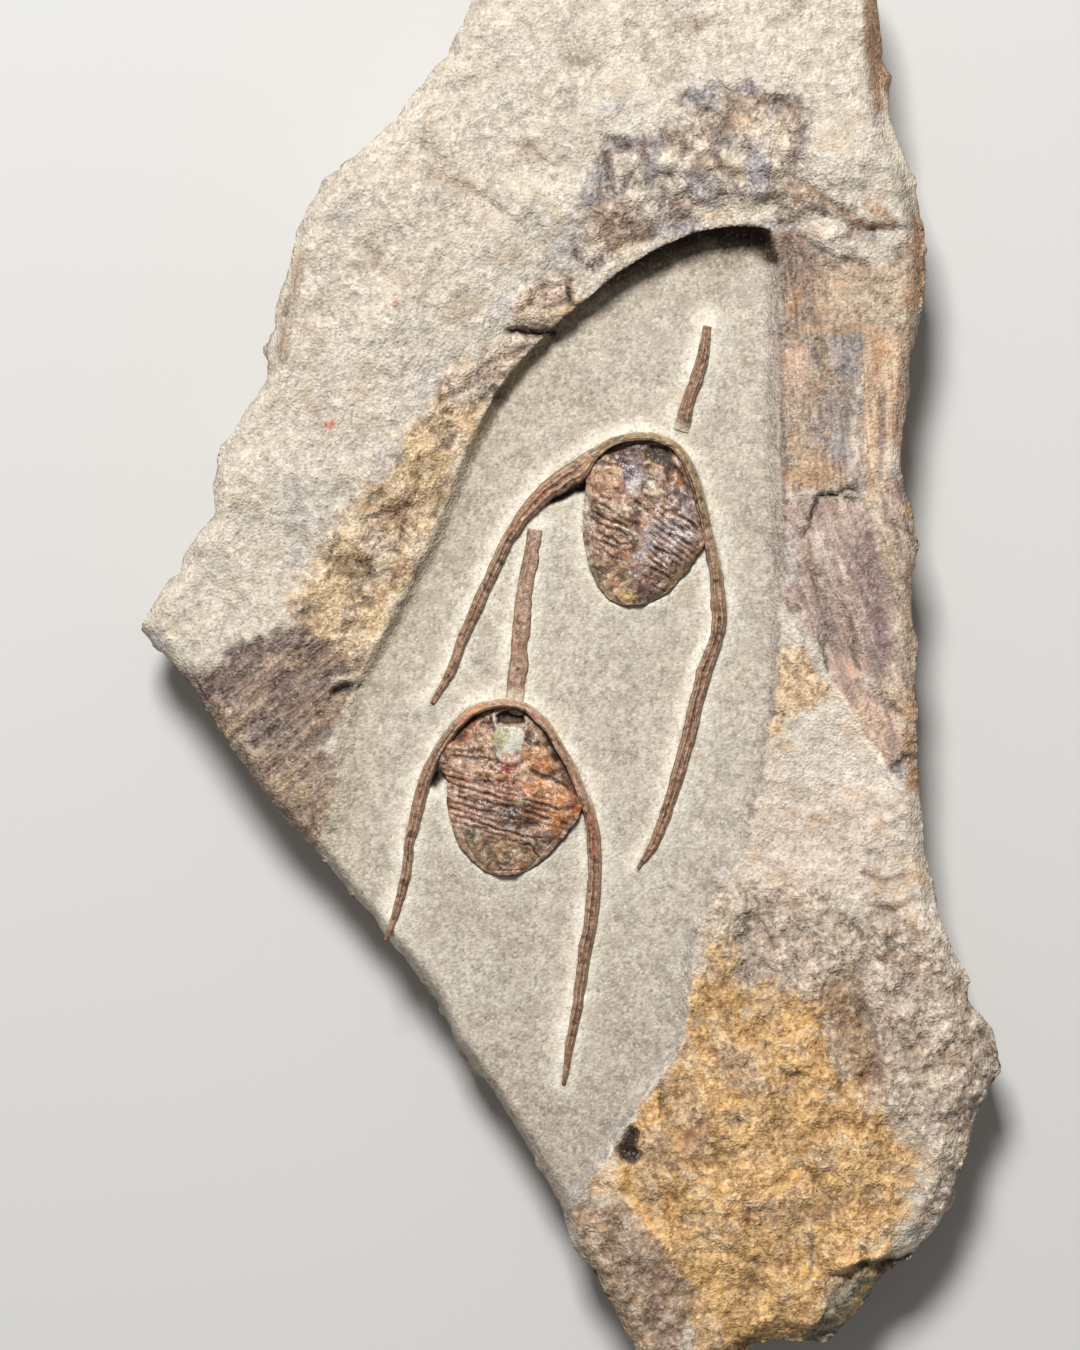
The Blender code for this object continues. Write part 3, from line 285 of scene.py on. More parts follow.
# Stretches of the top: finish, kind of relief, how strong, how soft the border is, outline
REGIONS = (
    ("knobs", "knobby", 1.0, 1.2, (
        (0.5, 49.5), (0.0, 52.0), (2.5, 53.5), (3.5, 56.5), (3.0, 59.5), (4.0, 62.0), (8.5, 62.5), (10.0, 64.0),
        (13.5, 65.0), (12.0, 67.0), (15.0, 68.0), (21.5, 68.5), (27.5, 68.0), (29.0, 64.0), (28.5, 61.0),
        (26.5, 59.0), (28.5, 57.0), (32.0, 54.0), (36.0, 52.5), (38.5, 51.0), (35.0, 47.5), (33.0, 48.0),
        (30.0, 50.0), (25.0, 51.0), (16.0, 51.0), (11.0, 49.0), (6.0, 46.0), (3.5, 44.5), (-1.0, 47.5),
        (-3.0, 49.0))),
    ("knob_brown", "knobby", 1.0, 0.8, (
        (3.0, 57.0), (6.5, 56.5), (11.0, 52.0), (10.0, 50.0), (6.0, 47.5), (2.0, 50.0))),
    ("knob_brown", "knobby", 1.0, 0.8, (
        (18.0, 65.0), (21.0, 68.0), (27.0, 67.5), (28.5, 61.5), (26.5, 60.0), (24.5, 64.0), (20.0, 62.5))),
    ("knob_blue", "knobby", 0.9, 0.6, ((8.5, 62.5), (11.0, 61.5), (11.5, 53.5), (8.5, 52.5), (8.0, 57.5))),
    ("knob_blue", "knobby", 0.9, 0.6, ((12.0, 67.0), (15.0, 68.0), (18.5, 68.5), (18.0, 66.5), (14.5, 65.5))),
    ("knob_pale", "knobby", 0.7, 0.7, ((18.5, 61.0), (21.0, 60.5), (22.0, 57.5), (20.0, 56.5), (18.5, 58.5))),
    ("knob_pale", "sandy", 0.8, 0.8, ((13.5, 55.0), (23.5, 55.5), (26.5, 54.5), (25.0, 52.0), (16.0, 51.5))),
    ("brown_band", "folded", 1.0, 0.8, (
        (1.5, 42.5), (0.0, 45.0), (-3.0, 46.0), (-6.5, 43.0), (-8.0, 39.0), (-11.0, 36.5), (-14.0, 34.0),
        (-16.5, 31.5), (-17.0, 29.5), (-15.0, 29.0), (-13.0, 30.0), (-10.0, 29.5), (-6.5, 35.0), (-2.5, 39.0))),
    ("ochre_band", "folded", 0.6, 1.4, (
        (-17.0, 30.0), (-20.0, 27.0), (-22.0, 25.0), (-22.5, 22.0), (-25.0, 20.0), (-27.0, 17.0), (-28.5, 14.5),
        (-30.5, 11.5), (-33.5, 8.5), (-34.5, 6.0), (-36.0, 3.5), (-32.0, 0.0), (-30.0, -1.5), (-28.0, -6.0),
        (-25.0, -1.0), (-22.0, 4.0), (-19.0, 10.0), (-16.5, 16.5), (-13.5, 23.5), (-10.5, 29.5),
        (-13.0, 30.0))),
    ("umber_band", "folded", 0.6, 0.8, (
        (-27.5, 17.5), (-21.5, 17.5), (-19.0, 16.0), (-22.0, 14.0), (-26.5, 14.0), (-28.5, 15.0))),
    ("umber_band", "folded", 0.6, 0.8, ((-28.0, 11.0), (-23.5, 12.5), (-20.0, 11.0), (-21.5, 8.5), (-26.0, 8.0))),
    ("brown_band", "folded", 0.7, 0.8, ((-19.0, 24.0), (-15.0, 26.5), (-13.5, 24.5), (-16.5, 21.5))),
    ("purple", "slanted", 1.0, 1.0, (
        (-40.0, 1.0), (-43.0, -0.5), (-44.5, -2.5), (-49.0, -3.5), (-50.0, -6.5), (-45.0, -12.0),
        (-40.0, -15.5), (-34.0, -14.5), (-30.5, -13.5), (-29.5, -10.0), (-28.5, -8.0), (-27.5, -6.0),
        (-28.5, -3.5), (-30.0, -1.5), (-32.5, 0.5), (-35.5, 2.5))),
    ("tan", "slanted", 0.9, 1.2, (
        (-48.0, -7.0), (-40.0, -12.5), (-30.5, -13.0), (-29.0, -18.5), (-30.5, -31.0), (-41.5, -22.5),
        (-47.5, -12.5))),
    ("strip", "upright", 1.0, 0.8, (
        (25.5, 50.5), (28.5, 50.0), (33.0, 47.5), (38.5, 47.5), (41.5, 49.5), (44.5, 47.5), (44.0, 39.0),
        (42.5, 27.5), (42.0, 23.5), (39.0, 19.0), (26.0, 18.0), (25.5, 30.0))),
    ("strip_dark", "upright", 1.0, 0.8, ((25.5, 50.0), (30.0, 49.5), (31.0, 44.0), (30.0, 39.0), (25.5, 39.0))),
    ("strip_cream", "sandy", 1.2, 0.9, (
        (31.0, 47.5), (41.5, 47.5), (42.5, 39.0), (34.5, 39.0), (31.0, 41.5))),
    ("strip_blue", "upright", 0.8, 0.8, ((32.0, 38.0), (37.0, 38.0), (37.5, 32.0), (34.5, 30.0), (32.5, 35.0))),
    ("strip_orange", "upright", 0.8, 0.9, (
        (36.5, 37.5), (41.5, 38.5), (42.5, 27.5), (40.0, 19.0), (36.5, 18.5), (35.5, 26.5))),
    ("strip_blue", "upright", 0.8, 0.8, ((30.0, 32.0), (34.5, 32.0), (35.0, 22.5), (33.0, 21.0), (30.0, 25.0))),
    ("mauve", "leaning", 1.0, 0.6, (
        (25.5, 18.0), (36.5, 18.5), (38.5, 14.5), (37.5, 10.0), (39.5, 4.0), (40.0, -1.0), (38.5, -5.0),
        (34.5, -3.5), (32.0, -1.5), (28.5, 2.5), (25.5, 5.0))),
    ("mauve_dark", "leaning", 1.0, 0.5, (
        (36.5, 13.5), (37.5, 13.5), (39.5, 5.0), (40.0, 0.0), (38.5, -5.0), (37.0, -4.0), (38.0, 1.5),
        (36.5, 8.5))),
    ("strip_cream", "leaning", 0.7, 0.7, (
        (36.5, 18.5), (42.0, 19.5), (44.0, 12.5), (43.5, 8.5), (44.0, -2.5), (40.5, -2.5), (39.0, 7.5),
        (37.5, 14.0))),
    ("honey", "grainy", 1.1, 0.6, (
        (25.5, -1.5), (28.5, -1.0), (32.0, -6.0), (30.0, -9.0), (27.0, -10.0), (24.5, -12.0), (25.0, -6.0))),
    ("strip_cream", "leaning", 0.7, 0.7, (
        (38.5, -4.0), (42.0, -3.0), (44.0, -2.5), (44.5, -13.5), (41.5, -13.0), (38.0, -8.0))),
    ("rib", "leaning", 0.45, 0.4, (
        (32.0, -1.5), (34.5, -3.0), (39.0, -8.5), (42.0, -12.5), (41.0, -14.5), (39.0, -16.0), (35.0, -10.5),
        (32.5, -5.0))),
    ("facet", "sandy", 0.45, 0.4, (
        (29.0, -9.5), (32.5, -6.0), (34.0, -7.5), (39.0, -15.5), (41.5, -19.5), (36.0, -20.5), (30.0, -19.0),
        (26.0, -16.5), (25.5, -13.5))),
    ("rust", "grainy", 0.8, 0.6, (
        (41.5, -6.0), (43.5, -6.0), (44.5, -15.0), (44.0, -20.0), (41.5, -19.0), (41.0, -13.0))),
    ("knob_blue", "grainy", 0.6, 0.4, ((38.5, -16.0), (41.0, -14.5), (41.5, -16.5), (41.0, -19.0))),
    ("grey", "sandy", 1.1, 1.0, (
        (25.5, -13.5), (26.0, -16.5), (30.0, -19.0), (41.5, -19.5), (45.0, -20.0), (46.0, -27.5),
        (41.5, -33.0), (36.0, -32.5), (28.5, -30.5), (23.5, -28.5), (20.0, -27.5), (22.0, -20.0))),
    ("rough_grey", "grainy", 1.2, 1.2, (
        (18.0, -31.0), (24.5, -29.0), (29.5, -31.0), (36.0, -36.0), (37.0, -45.0), (28.5, -46.0),
        (19.5, -45.0), (16.0, -40.0), (16.0, -33.0))),
    ("ochre_field", "grainy", 1.0, 1.6, (
        (14.0, -40.0), (19.5, -43.0), (28.5, -45.0), (37.0, -46.0), (38.5, -57.5), (41.5, -62.5),
        (44.0, -65.0), (41.5, -73.5), (37.5, -77.5), (33.5, -81.0), (30.0, -88.5), (23.5, -91.5),
        (14.0, -92.0), (13.5, -81.0), (9.5, -75.0), (6.0, -70.0), (1.0, -68.5), (4.0, -65.5), (9.0, -56.0),
        (13.0, -50.5))),
    ("dark_step", "grainy", 1.0, 1.2, (
        (31.0, -43.0), (36.0, -41.5), (37.0, -50.0), (38.5, -57.5), (36.0, -58.0), (32.5, -52.5))),
    ("rough_grey", "grainy", 1.2, 1.2, (
        (37.0, -33.0), (46.0, -32.5), (51.0, -42.5), (55.5, -52.5), (50.5, -63.5), (47.5, -72.5),
        (43.0, -74.0), (44.0, -65.0), (39.5, -60.0), (38.0, -51.0), (36.0, -40.0))),
    ("lower_left", "grainy", 1.1, 1.0, (
        (-1.0, -70.0), (6.0, -70.0), (9.5, -75.0), (14.5, -81.0), (16.0, -93.5), (6.5, -93.0), (1.5, -82.5))),
    ("lower_dark", "grainy", 1.1, 0.8, (
        (6.0, -73.5), (10.0, -75.0), (15.0, -82.5), (14.5, -91.5), (10.0, -91.5), (8.5, -81.0))),
    ("green", "broken", 0.8, 0.5, (
        (39.5, -77.5), (42.5, -78.5), (38.0, -84.5), (32.5, -90.0), (28.5, -89.0), (32.5, -82.5))),
    ("honey", "grainy", 1.0, 0.5, ((2.5, -67.0), (6.0, -65.0), (7.0, -68.0), (3.5, -69.5))),
    ("rust", "sandy", 0.8, 0.6, (
        (36.0, 81.5), (39.5, 81.5), (39.5, 72.5), (39.5, 65.5), (37.0, 65.5), (36.0, 72.5))),
    ("rust", "sandy", 0.8, 0.6, (
        (42.6, 53.0), (44.5, 53.0), (45.5, 49.0), (45.0, 43.0), (42.8, 42.0), (42.6, 47.5))),
    # Painted highlight on the bevelled face at the top right edge, which catches the light.
    ("cream_highlight", "sandy", 0.8, 0.5, (
        (38.5, 68.5), (40.5, 66.0), (43.5, 61.5), (44.5, 57.5), (42.5, 55.5), (40.0, 59.5), (38.5, 64.0))),
    # Painted highlight on a face by the right edge that catches the light.
    ("facet", "grainy", 0.8, 0.5, ((44.0, -33.0), (47.0, -35.0), (51.0, -41.5), (47.0, -40.5), (44.0, -36.5))),
)

# Spots and smudges of the top: finish, x, y, radius along and across, turn in degrees, how far it stands up
SPOTS = (
    ("smudge", -5.4, 61.0, 2.2, 1.4, -35, 0.2), ("smudge", 0.9, 72.1, 2.6, 1.0, 10, 0.0),
    ("smudge", -17.9, 63.5, 2.6, 1.0, 75, 0.0), ("smudge", -16.0, 57.0, 2.6, 1.0, -40, -0.2),
    ("smudge", -10.5, 54.2, 3.6, 0.9, -35, -0.2), ("smudge", -38.5, 11.0, 2.4, 1.6, 20, 0.0),
    ("smudge", 14.0, 76.0, 3.0, 1.2, 20, 0.0), ("smudge", 28.0, 78.0, 2.2, 1.2, 60, 0.0),
    ("smudge", -25.0, 47.0, 2.6, 1.2, 60, 0.0), ("smudge", -7.5, 47.5, 2.4, 1.3, -20, 0.0),
    ("bruise", -23.2, 22.7, 3.4, 1.4, 62, 0.0), ("bruise", -0.6, 50.8, 7.5, 1.7, 62, 0.1),
    ("bruise", -34.0, 10.4, 2.6, 1.5, 30, 0.0), ("bruise", -7.5, 42.8, 4.0, 1.0, 48, 0.0),
    ("bruise", -19.0, 31.0, 4.5, 1.0, 52, 0.0), ("bruise", 5.0, 66.5, 2.6, 1.4, 30, 0.0),
    ("red_spot", -22.0, 41.8, 0.6, 0.25, 70, 0.0), ("red_spot", -30.2, 27.1, 1.0, 0.7, 40, 0.1),
    ("knob_brown", 11.5, 62.7, 3.4, 0.8, 10, 0.3), ("knob_violet", 9.9, 58.9, 3.2, 0.9, 85, 0.2),
    ("knob_violet", 16.5, 57.1, 3.4, 2.4, -20, 0.7), ("knob_pale", 20.2, 59.9, 1.7, 1.2, 70, 0.6),
    ("knob_pale", 21.8, 54.9, 1.7, 0.9, 20, 0.4), ("rust", 20.9, 64.3, 1.3, 0.9, 0, 0.1),
    ("knob_brown", 27.0, 64.6, 3.4, 0.9, -65, 0.4), ("knob_brown", 19.2, 66.8, 2.4, 0.9, -10, 0.3),
    ("knob_blue", 15.9, 67.4, 2.6, 0.9, 20, 0.3), ("knob_violet", 23.2, 58.7, 3.4, 1.5, 85, 0.5),
    ("bruise", 23.0, 55.6, 1.3, 0.9, 70, 0.3), ("knob_brown", 4.1, 57.7, 4.2, 0.7, 84, -0.4),
    ("knob_violet", 2.6, 56.6, 2.4, 1.6, 50, 0.3), ("knob_pale", 1.8, 52.9, 1.8, 0.8, 15, 0.3),
    ("knob_brown", 5.6, 51.6, 3.6, 1.4, 25, 0.0), ("knob_pale", 7.6, 54.6, 1.3, 1.0, 0, 0.5),
    ("knob_pale", 12.6, 59.6, 1.5, 1.0, 60, 0.5), ("knob_brown", 13.6, 54.4, 1.6, 1.1, -30, 0.0),
    ("knob_brown", 28.0, 54.9, 3.6, 1.5, -12, 0.3), ("facet", 32.4, 50.3, 2.6, 1.9, -50, 0.5),
    ("knob_blue", 37.1, 50.6, 1.3, 0.8, 0, 0.0), ("facet", 32.0, 59.8, 4.2, 3.4, -40, 0.7),
    ("rust", 38.4, 53.0, 2.6, 1.0, -30, 0.2), ("knob_violet", 12.8, 51.2, 2.6, 0.8, 10, 0.0),
    ("rib", -7.6, 35.2, 2.0, 0.8, 60, 0.3),
    ("knob_pale", -5.4, 40.6, 1.5, 0.8, 30, 0.4), ("knob_pale", -13.2, 33.2, 1.6, 0.7, 35, 0.3),
    ("gold_band", -18.6, 21.4, 4.0, 2.4, 60, 0.2), ("umber_band", -21.6, 16.2, 4.4, 0.9, 22, -0.2),
    ("gold_band", -29.3, 6.6, 3.8, 2.4, 35, 0.2), ("gold_band", -26.0, 2.6, 4.4, 2.0, 60, 0.1),
    ("brown_band", -23.4, 12.6, 3.4, 1.0, 15, 0.0),
    ("strip_dark", 28.2, 46.2, 2.4, 1.8, 60, -0.1), ("rust", 27.4, 41.4, 2.8, 1.0, 85, 0.0),
    ("strip_blue", 34.9, 34.9, 3.6, 1.8, 85, 0.0), ("rib", 28.0, 33.9, 4.0, 2.0, 85, 0.0),
    ("facet", 35.2, 25.8, 6.0, 0.7, 86, 0.2), ("strip_orange", 37.3, 25.2, 5.6, 1.1, 86, 0.1),
    ("rust", 30.9, 20.8, 2.6, 1.7, 10, 0.0), ("facet", 39.8, 22.6, 2.6, 1.2, 85, 0.2),
    ("yellow", 41.8, 16.4, 0.9, 0.7, 0, 0.1), ("bruise", 27.0, 10.2, 4.0, 1.0, 88, 0.0),
    # The second facet spot here is a painted highlight on a face by the right edge that catches the light.
    ("facet", 28.0, 1.0, 3.4, 0.9, 80, 0.0), ("facet", 44.8, -34.6, 4.2, 1.8, -52, 0.4),
    ("yellow", 18.6, -41.0, 4.4, 2.2, 80, 0.1), ("yellow", 22.0, -80.0, 8.0, 5.0, -10, 0.0),
    ("yellow", 24.0, -62.0, 6.0, 4.0, 30, 0.0), ("yellow", 36.0, -66.0, 4.0, 3.0, 60, 0.0),
    ("rough_grey", 21.2, -41.6, 1.3, 1.0, 0, 0.0),
    ("dark_step", 14.0, -62.0, 5.0, 3.0, 50, 0.0),
    ("lower_left", 20.0, -53.0, 4.0, 2.4, -30, 0.0), ("dark_step", 28.0, -71.0, 6.0, 2.2, 10, 0.0),
    # Painted highlights along the bevelled right edge, where it catches the light.
    ("facet", 50.5, -57.0, 4.0, 1.0, 62, 0.3), ("facet", 46.5, -70.0, 4.4, 1.0, 64, 0.3),
)

# Stretches with scattered blots: finish, the blots' size, how rare they are, share, outline
SPECKLES = (
    ("slate", 0.9, 0.35, 0.60, ((19.0, -40.0), (28.0, -41.0), (29.0, -60.0), (20.0, -61.0))),
    ("dark_step", 3.0, 0.25, 0.35, ((12.0, -52.0), (40.0, -48.0), (42.0, -80.0), (14.0, -92.0), (4.0, -68.0))),
    ("yellow", 2.4, 0.10, 0.70, ((14.0, -44.0), (26.0, -45.0), (42.0, -70.0), (36.0, -84.0), (15.0, -92.0))),
    ("umber_band", 1.6, 0.35, 0.60, ((-36.0, 6.0), (-24.0, 24.0), (-14.0, 30.0), (-11.0, 28.0), (-26.0, -2.0))),
    ("purple", 2.2, 0.10, 0.80, ((-50.0, -4.0), (-36.0, 2.0), (-32.0, -4.0), (-38.0, -14.0))),
    ("gold_band", 2.4, 0.25, 0.30, ((-40.0, -8.0), (-28.0, -8.0), (-30.0, -30.0), (-42.0, -22.0))),
    ("rust", 1.4, 0.30, 0.60, ((25.5, 48.0), (44.0, 48.0), (42.0, 18.0), (25.5, 18.0))),
    ("honey", 1.8, 0.45, 0.50, ((26.0, -16.0), (44.0, -18.0), (46.0, -34.0), (20.0, -30.0))),
    ("rust", 1.3, 0.50, 0.60, ((38.0, -36.0), (52.0, -40.0), (54.0, -56.0), (44.0, -72.0), (38.0, -60.0))),
    ("facet", 1.6, 0.35, 0.60, ((18.0, -30.0), (46.0, -32.0), (54.0, -54.0), (44.0, -72.0), (38.0, -46.0))),
)

# Which kinds of relief get painted shade in their creases and painted highlights on their crests: the shade's
# share, the highlights' share
CREASE_SHADE_AND_CREST_LIGHT = (("knobby", 0.75, 0.5), ("folded", 0.45, 0.45), ("grainy", 0.4, 0.25), ("broken", 0.4, 0.2))

# How deeply the kinds of relief are creased, with painted shade in the creases, the sides' share of it, and the
# directions of drawn-out lines
ROUGH_KINDS = (("knobby", 0.8), ("folded", 0.5), ("grainy", 0.55), ("broken", 0.7), ("slanted", 0.5))
SIDE_ROUGH = 0.5
LINE_WAYS = (("upright", 95.0), ("leaning", 110.0), ("slanted", 38.0))

# Pale and dark veins: finish, how far it stands up, half width, line
VEINS = (
    ("knob_pale", 0.35, 0.35, ((16.5, 59.6), (18.2, 57.6), (20.2, 55.2))),
    ("knob_pale", 0.25, 0.50, ((0.9, 43.2), (5.0, 46.6), (9.6, 49.4), (14.0, 51.3))),
    ("knob_pale", 0.25, 0.45, ((-9.6, 30.6), (-5.9, 34.4), (-1.9, 38.0))),
    ("rust", -0.10, 0.28, ((26.6, 38.5), (29.5, 39.3), (33.0, 38.6), (36.0, 39.4), (39.0, 38.8))),
    ("strip", 0.10, 0.55, ((-33.6, 49.0), (-35.7, 40.5), (-36.6, 33.5))),
    ("smudge", -0.25, 0.22, ((-32.8, 48.6), (-34.9, 40.2), (-35.7, 33.6))),
    ("facet", 0.20, 0.30, ((26.2, 17.9), (28.6, 18.4), (30.9, 18.6))),
    # Pale line on the ledge's edge: partly pale stone, partly painted highlight where the ledge faces the light.
    ("cream_highlight", 0.30, 0.32, ((31.9, -4.9), (33.9, -7.6), (36.4, -12.3), (38.9, -15.6), (41.4, -19.2))),
    ("brown_band", -0.25, 0.28, ((34.4, -2.4), (36.4, -5.2), (38.6, -7.0), (41.4, -9.6), (43.6, -12.4))),
    ("purple", -0.35, 0.35, ((4.0, 61.5), (4.5, 58.0), (5.4, 53.2))),
    ("knob_brown", -0.30, 0.30, ((24.6, 66.6), (26.4, 63.6), (27.8, 60.6), (27.4, 58.2))),
    ("purple", -0.35, 0.25, ((14.6, 58.9), (16.4, 60.4), (18.2, 59.6), (20.6, 56.0), (21.2, 53.8))),
    ("purple", -0.30, 0.25, ((8.4, 61.6), (9.4, 59.0), (9.0, 55.6))),
    ("rust", -0.20, 0.30, ((25.4, 55.6), (28.4, 56.8), (31.0, 54.9), (34.0, 52.9), (37.0, 51.4), (41.0, 51.8))),
    ("strip_dark", -0.20, 0.35, ((38.4, 31.4), (38.6, 27.0), (38.4, 24.0))),
    ("mauve_dark", -0.30, 0.45, ((36.5, 15.2), (37.1, 10.8), (38.4, 6.4), (39.9, 0.2), (39.0, -2.9))),
    ("mauve_dark", -0.25, 0.30, ((31.6, 13.6), (33.0, 8.0), (34.6, 3.6), (35.4, -1.0))),
    ("mauve_dark", -0.25, 0.40, ((34.6, -4.8), (38.0, -7.4), (41.5, -9.4))),
    ("strip_dark", -0.20, 0.30, ((29.4, 14.4), (29.9, 9.4), (30.6, 5.0), (32.0, 0.0))),
    ("knob_pale", 0.25, 0.30, ((-30.4, -5.0), (-28.4, -4.6), (-26.8, -4.6))),
    ("strip_dark", 0.00, 0.30, ((25.9, 46.0), (26.0, 34.0), (26.3, 20.0), (26.3, 6.0))),
    ("facet", 0.10, 0.30, ((14.6, -36.0), (14.0, -44.0), (13.6, -50.4), (8.8, -57.4), (2.0, -68.0))),
    ("lower_dark", -0.25, 0.90, ((35.0, -43.0), (36.9, -47.0), (37.4, -51.0), (38.4, -56.0))),
    ("lower_dark", -0.25, 0.40, ((35.3, -28.6), (38.9, -30.0), (42.4, -29.0))),
    ("lower_dark", -0.20, 0.35, ((36.4, -32.6), (40.0, -33.6), (43.4, -31.4))),
    ("purple", -0.10, 0.20, ((30.1, -73.0), (29.6, -75.4), (30.0, -77.4), (29.2, -80.2))),
    ("green", -0.50, 0.45, ((40.3, -77.6), (37.1, -77.6), (34.6, -79.8), (32.8, -81.7), (30.3, -87.3))),
)

# The hoops' outer edges, from the left spine's tip round the head to the right one's: x, y, width, height
UPPER_HOOP = (
    (-17.9, -7.6, 0.6, 0.5), (-16.1, -4.0, 1.2, 0.9), (-14.2, 1.0, 1.4, 1.1), (-11.6, 7.0, 1.5, 1.3),
    (-9.4, 12.0, 1.6, 1.4), (-7.2, 15.8, 1.8, 1.5), (-4.8, 18.9, 2.3, 1.7), (-2.1, 21.3, 2.9, 1.9),
    (0.4, 22.9, 2.7, 2.0), (2.4, 24.2, 1.5, 2.1), (4.8, 25.5, 1.2, 2.2), (7.4, 26.2, 1.2, 2.3),
    (10.2, 26.2, 1.2, 2.3), (12.8, 25.2, 1.3, 2.2), (14.8, 23.0, 1.4, 2.2), (16.1, 19.8, 1.5, 2.1),
    (17.1, 16.2, 1.5, 2.0), (17.9, 12.6, 1.6, 1.8), (18.6, 9.6, 1.6, 1.7), (19.2, 5.5, 1.9, 1.6),
    (19.3, 2.5, 2.0, 1.5), (18.7, -0.2, 1.8, 1.4), (17.7, -3.2, 1.9, 1.4), (16.5, -7.5, 1.9, 1.4),
    (15.2, -12.5, 1.8, 1.3), (13.8, -17.5, 1.7, 1.2), (12.2, -22.4, 1.5, 1.0), (10.6, -26.0, 1.3, 0.8),
    (8.4, -28.6, 0.5, 0.5),
)
LOWER_HOOP = (
    (-23.6, -37.4, 0.6, 0.5), (-22.3, -32.3, 1.2, 0.9), (-21.4, -28.2, 1.3, 1.1), (-21.0, -24.5, 1.4, 1.2),
    (-20.2, -20.8, 1.5, 1.3), (-19.4, -17.5, 1.6, 1.4), (-18.6, -15.4, 1.6, 1.6), (-17.2, -13.2, 1.4, 1.8),
    (-16.0, -11.4, 1.3, 1.9), (-14.6, -9.7, 1.2, 2.0), (-12.6, -8.2, 1.2, 2.1), (-10.6, -7.5, 1.2, 2.2),
    (-8.6, -7.2, 1.2, 2.2), (-6.4, -7.4, 1.2, 2.2), (-4.8, -8.3, 1.2, 2.2), (-3.0, -10.0, 1.3, 2.1),
    (-1.4, -12.4, 1.3, 2.1), (0.2, -15.2, 1.3, 2.0), (1.5, -18.0, 1.4, 1.9), (2.6, -20.8, 1.5, 1.7),
    (3.4, -23.8, 1.7, 1.6), (3.6, -27.0, 1.7, 1.5), (3.5, -31.0, 1.6, 1.4), (3.0, -35.5, 1.7, 1.3),
    (2.2, -40.5, 1.6, 1.2), (1.2, -46.0, 1.4, 1.0), (0.0, -51.5, 1.1, 0.8), (-0.9, -55.5, 0.5, 0.5),
)

# The nose spines' left edges, from base to tip: x, y, width, height
UPPER_NOSE = (
    (12.6, 26.6, 1.9, 0.4), (13.0, 28.0, 1.8, 1.1), (14.0, 31.0, 1.6, 1.2), (15.4, 35.4, 1.6, 1.1),
    (16.4, 39.6, 1.2, 0.7),
)
LOWER_NOSE = ((-8.4, -7.7, 2.4, 0.9), (-7.9, -2.0, 2.3, 0.8), (-7.2, 5.0, 2.1, 0.8), (-5.6, 14.2, 1.9, 0.7))
NOSE_FADE = 0.12

# Patches of the hoops: finish, share, outline
UPPER_RIB_PATCHES = (
    ("rust", 0.25, ((-9.0, 14.0), (-4.0, 20.5), (1.5, 23.5), (2.8, 21.5), (-2.5, 18.0), (-7.0, 12.5))),
    ("pink_crest", 0.70, ((15.6, 14.6), (16.8, 14.4), (17.5, 12.4), (16.6, 11.6), (15.6, 12.4))),
    ("olive", 0.55, ((2.0, 25.2), (6.0, 27.0), (9.0, 27.0), (9.0, 25.2), (6.0, 25.0), (2.4, 23.4))),
)
LOWER_RIB_PATCHES = (
    ("pink_crest", 0.60, ((-9.8, -6.8), (-6.6, -6.6), (-4.6, -7.8), (-4.4, -9.2), (-6.4, -8.6), (-9.6, -8.6))),
    ("orange", 0.50, ((-15.0, -9.6), (-11.6, -7.2), (-11.0, -8.4), (-14.2, -10.9))),
    ("pink_crest", 0.60, (
        (-4.8, -8.4), (-3.0, -10.2), (-2.2, -12.2), (-3.0, -12.6), (-4.2, -10.6), (-5.2, -9.4))),
    ("rust", 0.50, ((1.2, -20.0), (4.0, -21.0), (4.8, -27.0), (2.0, -27.0))),
)

# Furrows along the hoops: from and to as shares of the length, place across, half width, depth, finish
UPPER_FURROWS = (
    (0.49, 0.63, 0.88, 0.14, 0.20, "furrow"), (0.66, 0.95, 0.50, 0.10, 0.12, "umber"),
    (0.03, 0.24, 0.55, 0.10, 0.12, "umber"),
)
LOWER_FURROWS = (
    (0.64, 0.96, 0.48, 0.10, 0.14, "umber"), (0.04, 0.18, 0.50, 0.10, 0.10, "umber"),
)
RIB_SPACING = 0.2
RIB_POINTS = 27

# Across a spine or hoop from its outer to its inner edge: places, and the height there as a share of the
# whole. A spine is round with a groove along it, and the hoop's front leans up to its inner edge.
ACROSS = (0.0, 0.12, 0.34, 0.52, 0.7, 0.9, 1.0)
ROUND_SPINE = (0.2, 0.72, 1.0, 0.88, 1.0, 0.72, 0.2)
FRONT_LIP = (0.05, 0.3, 0.66, 0.88, 1.0, 0.96, 0.6)

# Where the hoop's lean begins and is whole, as shares of its length from its left and its right end
LEAN_FROM_LEFT = (0.3, 0.4)
LEAN_FROM_RIGHT = (0.3, 0.42)

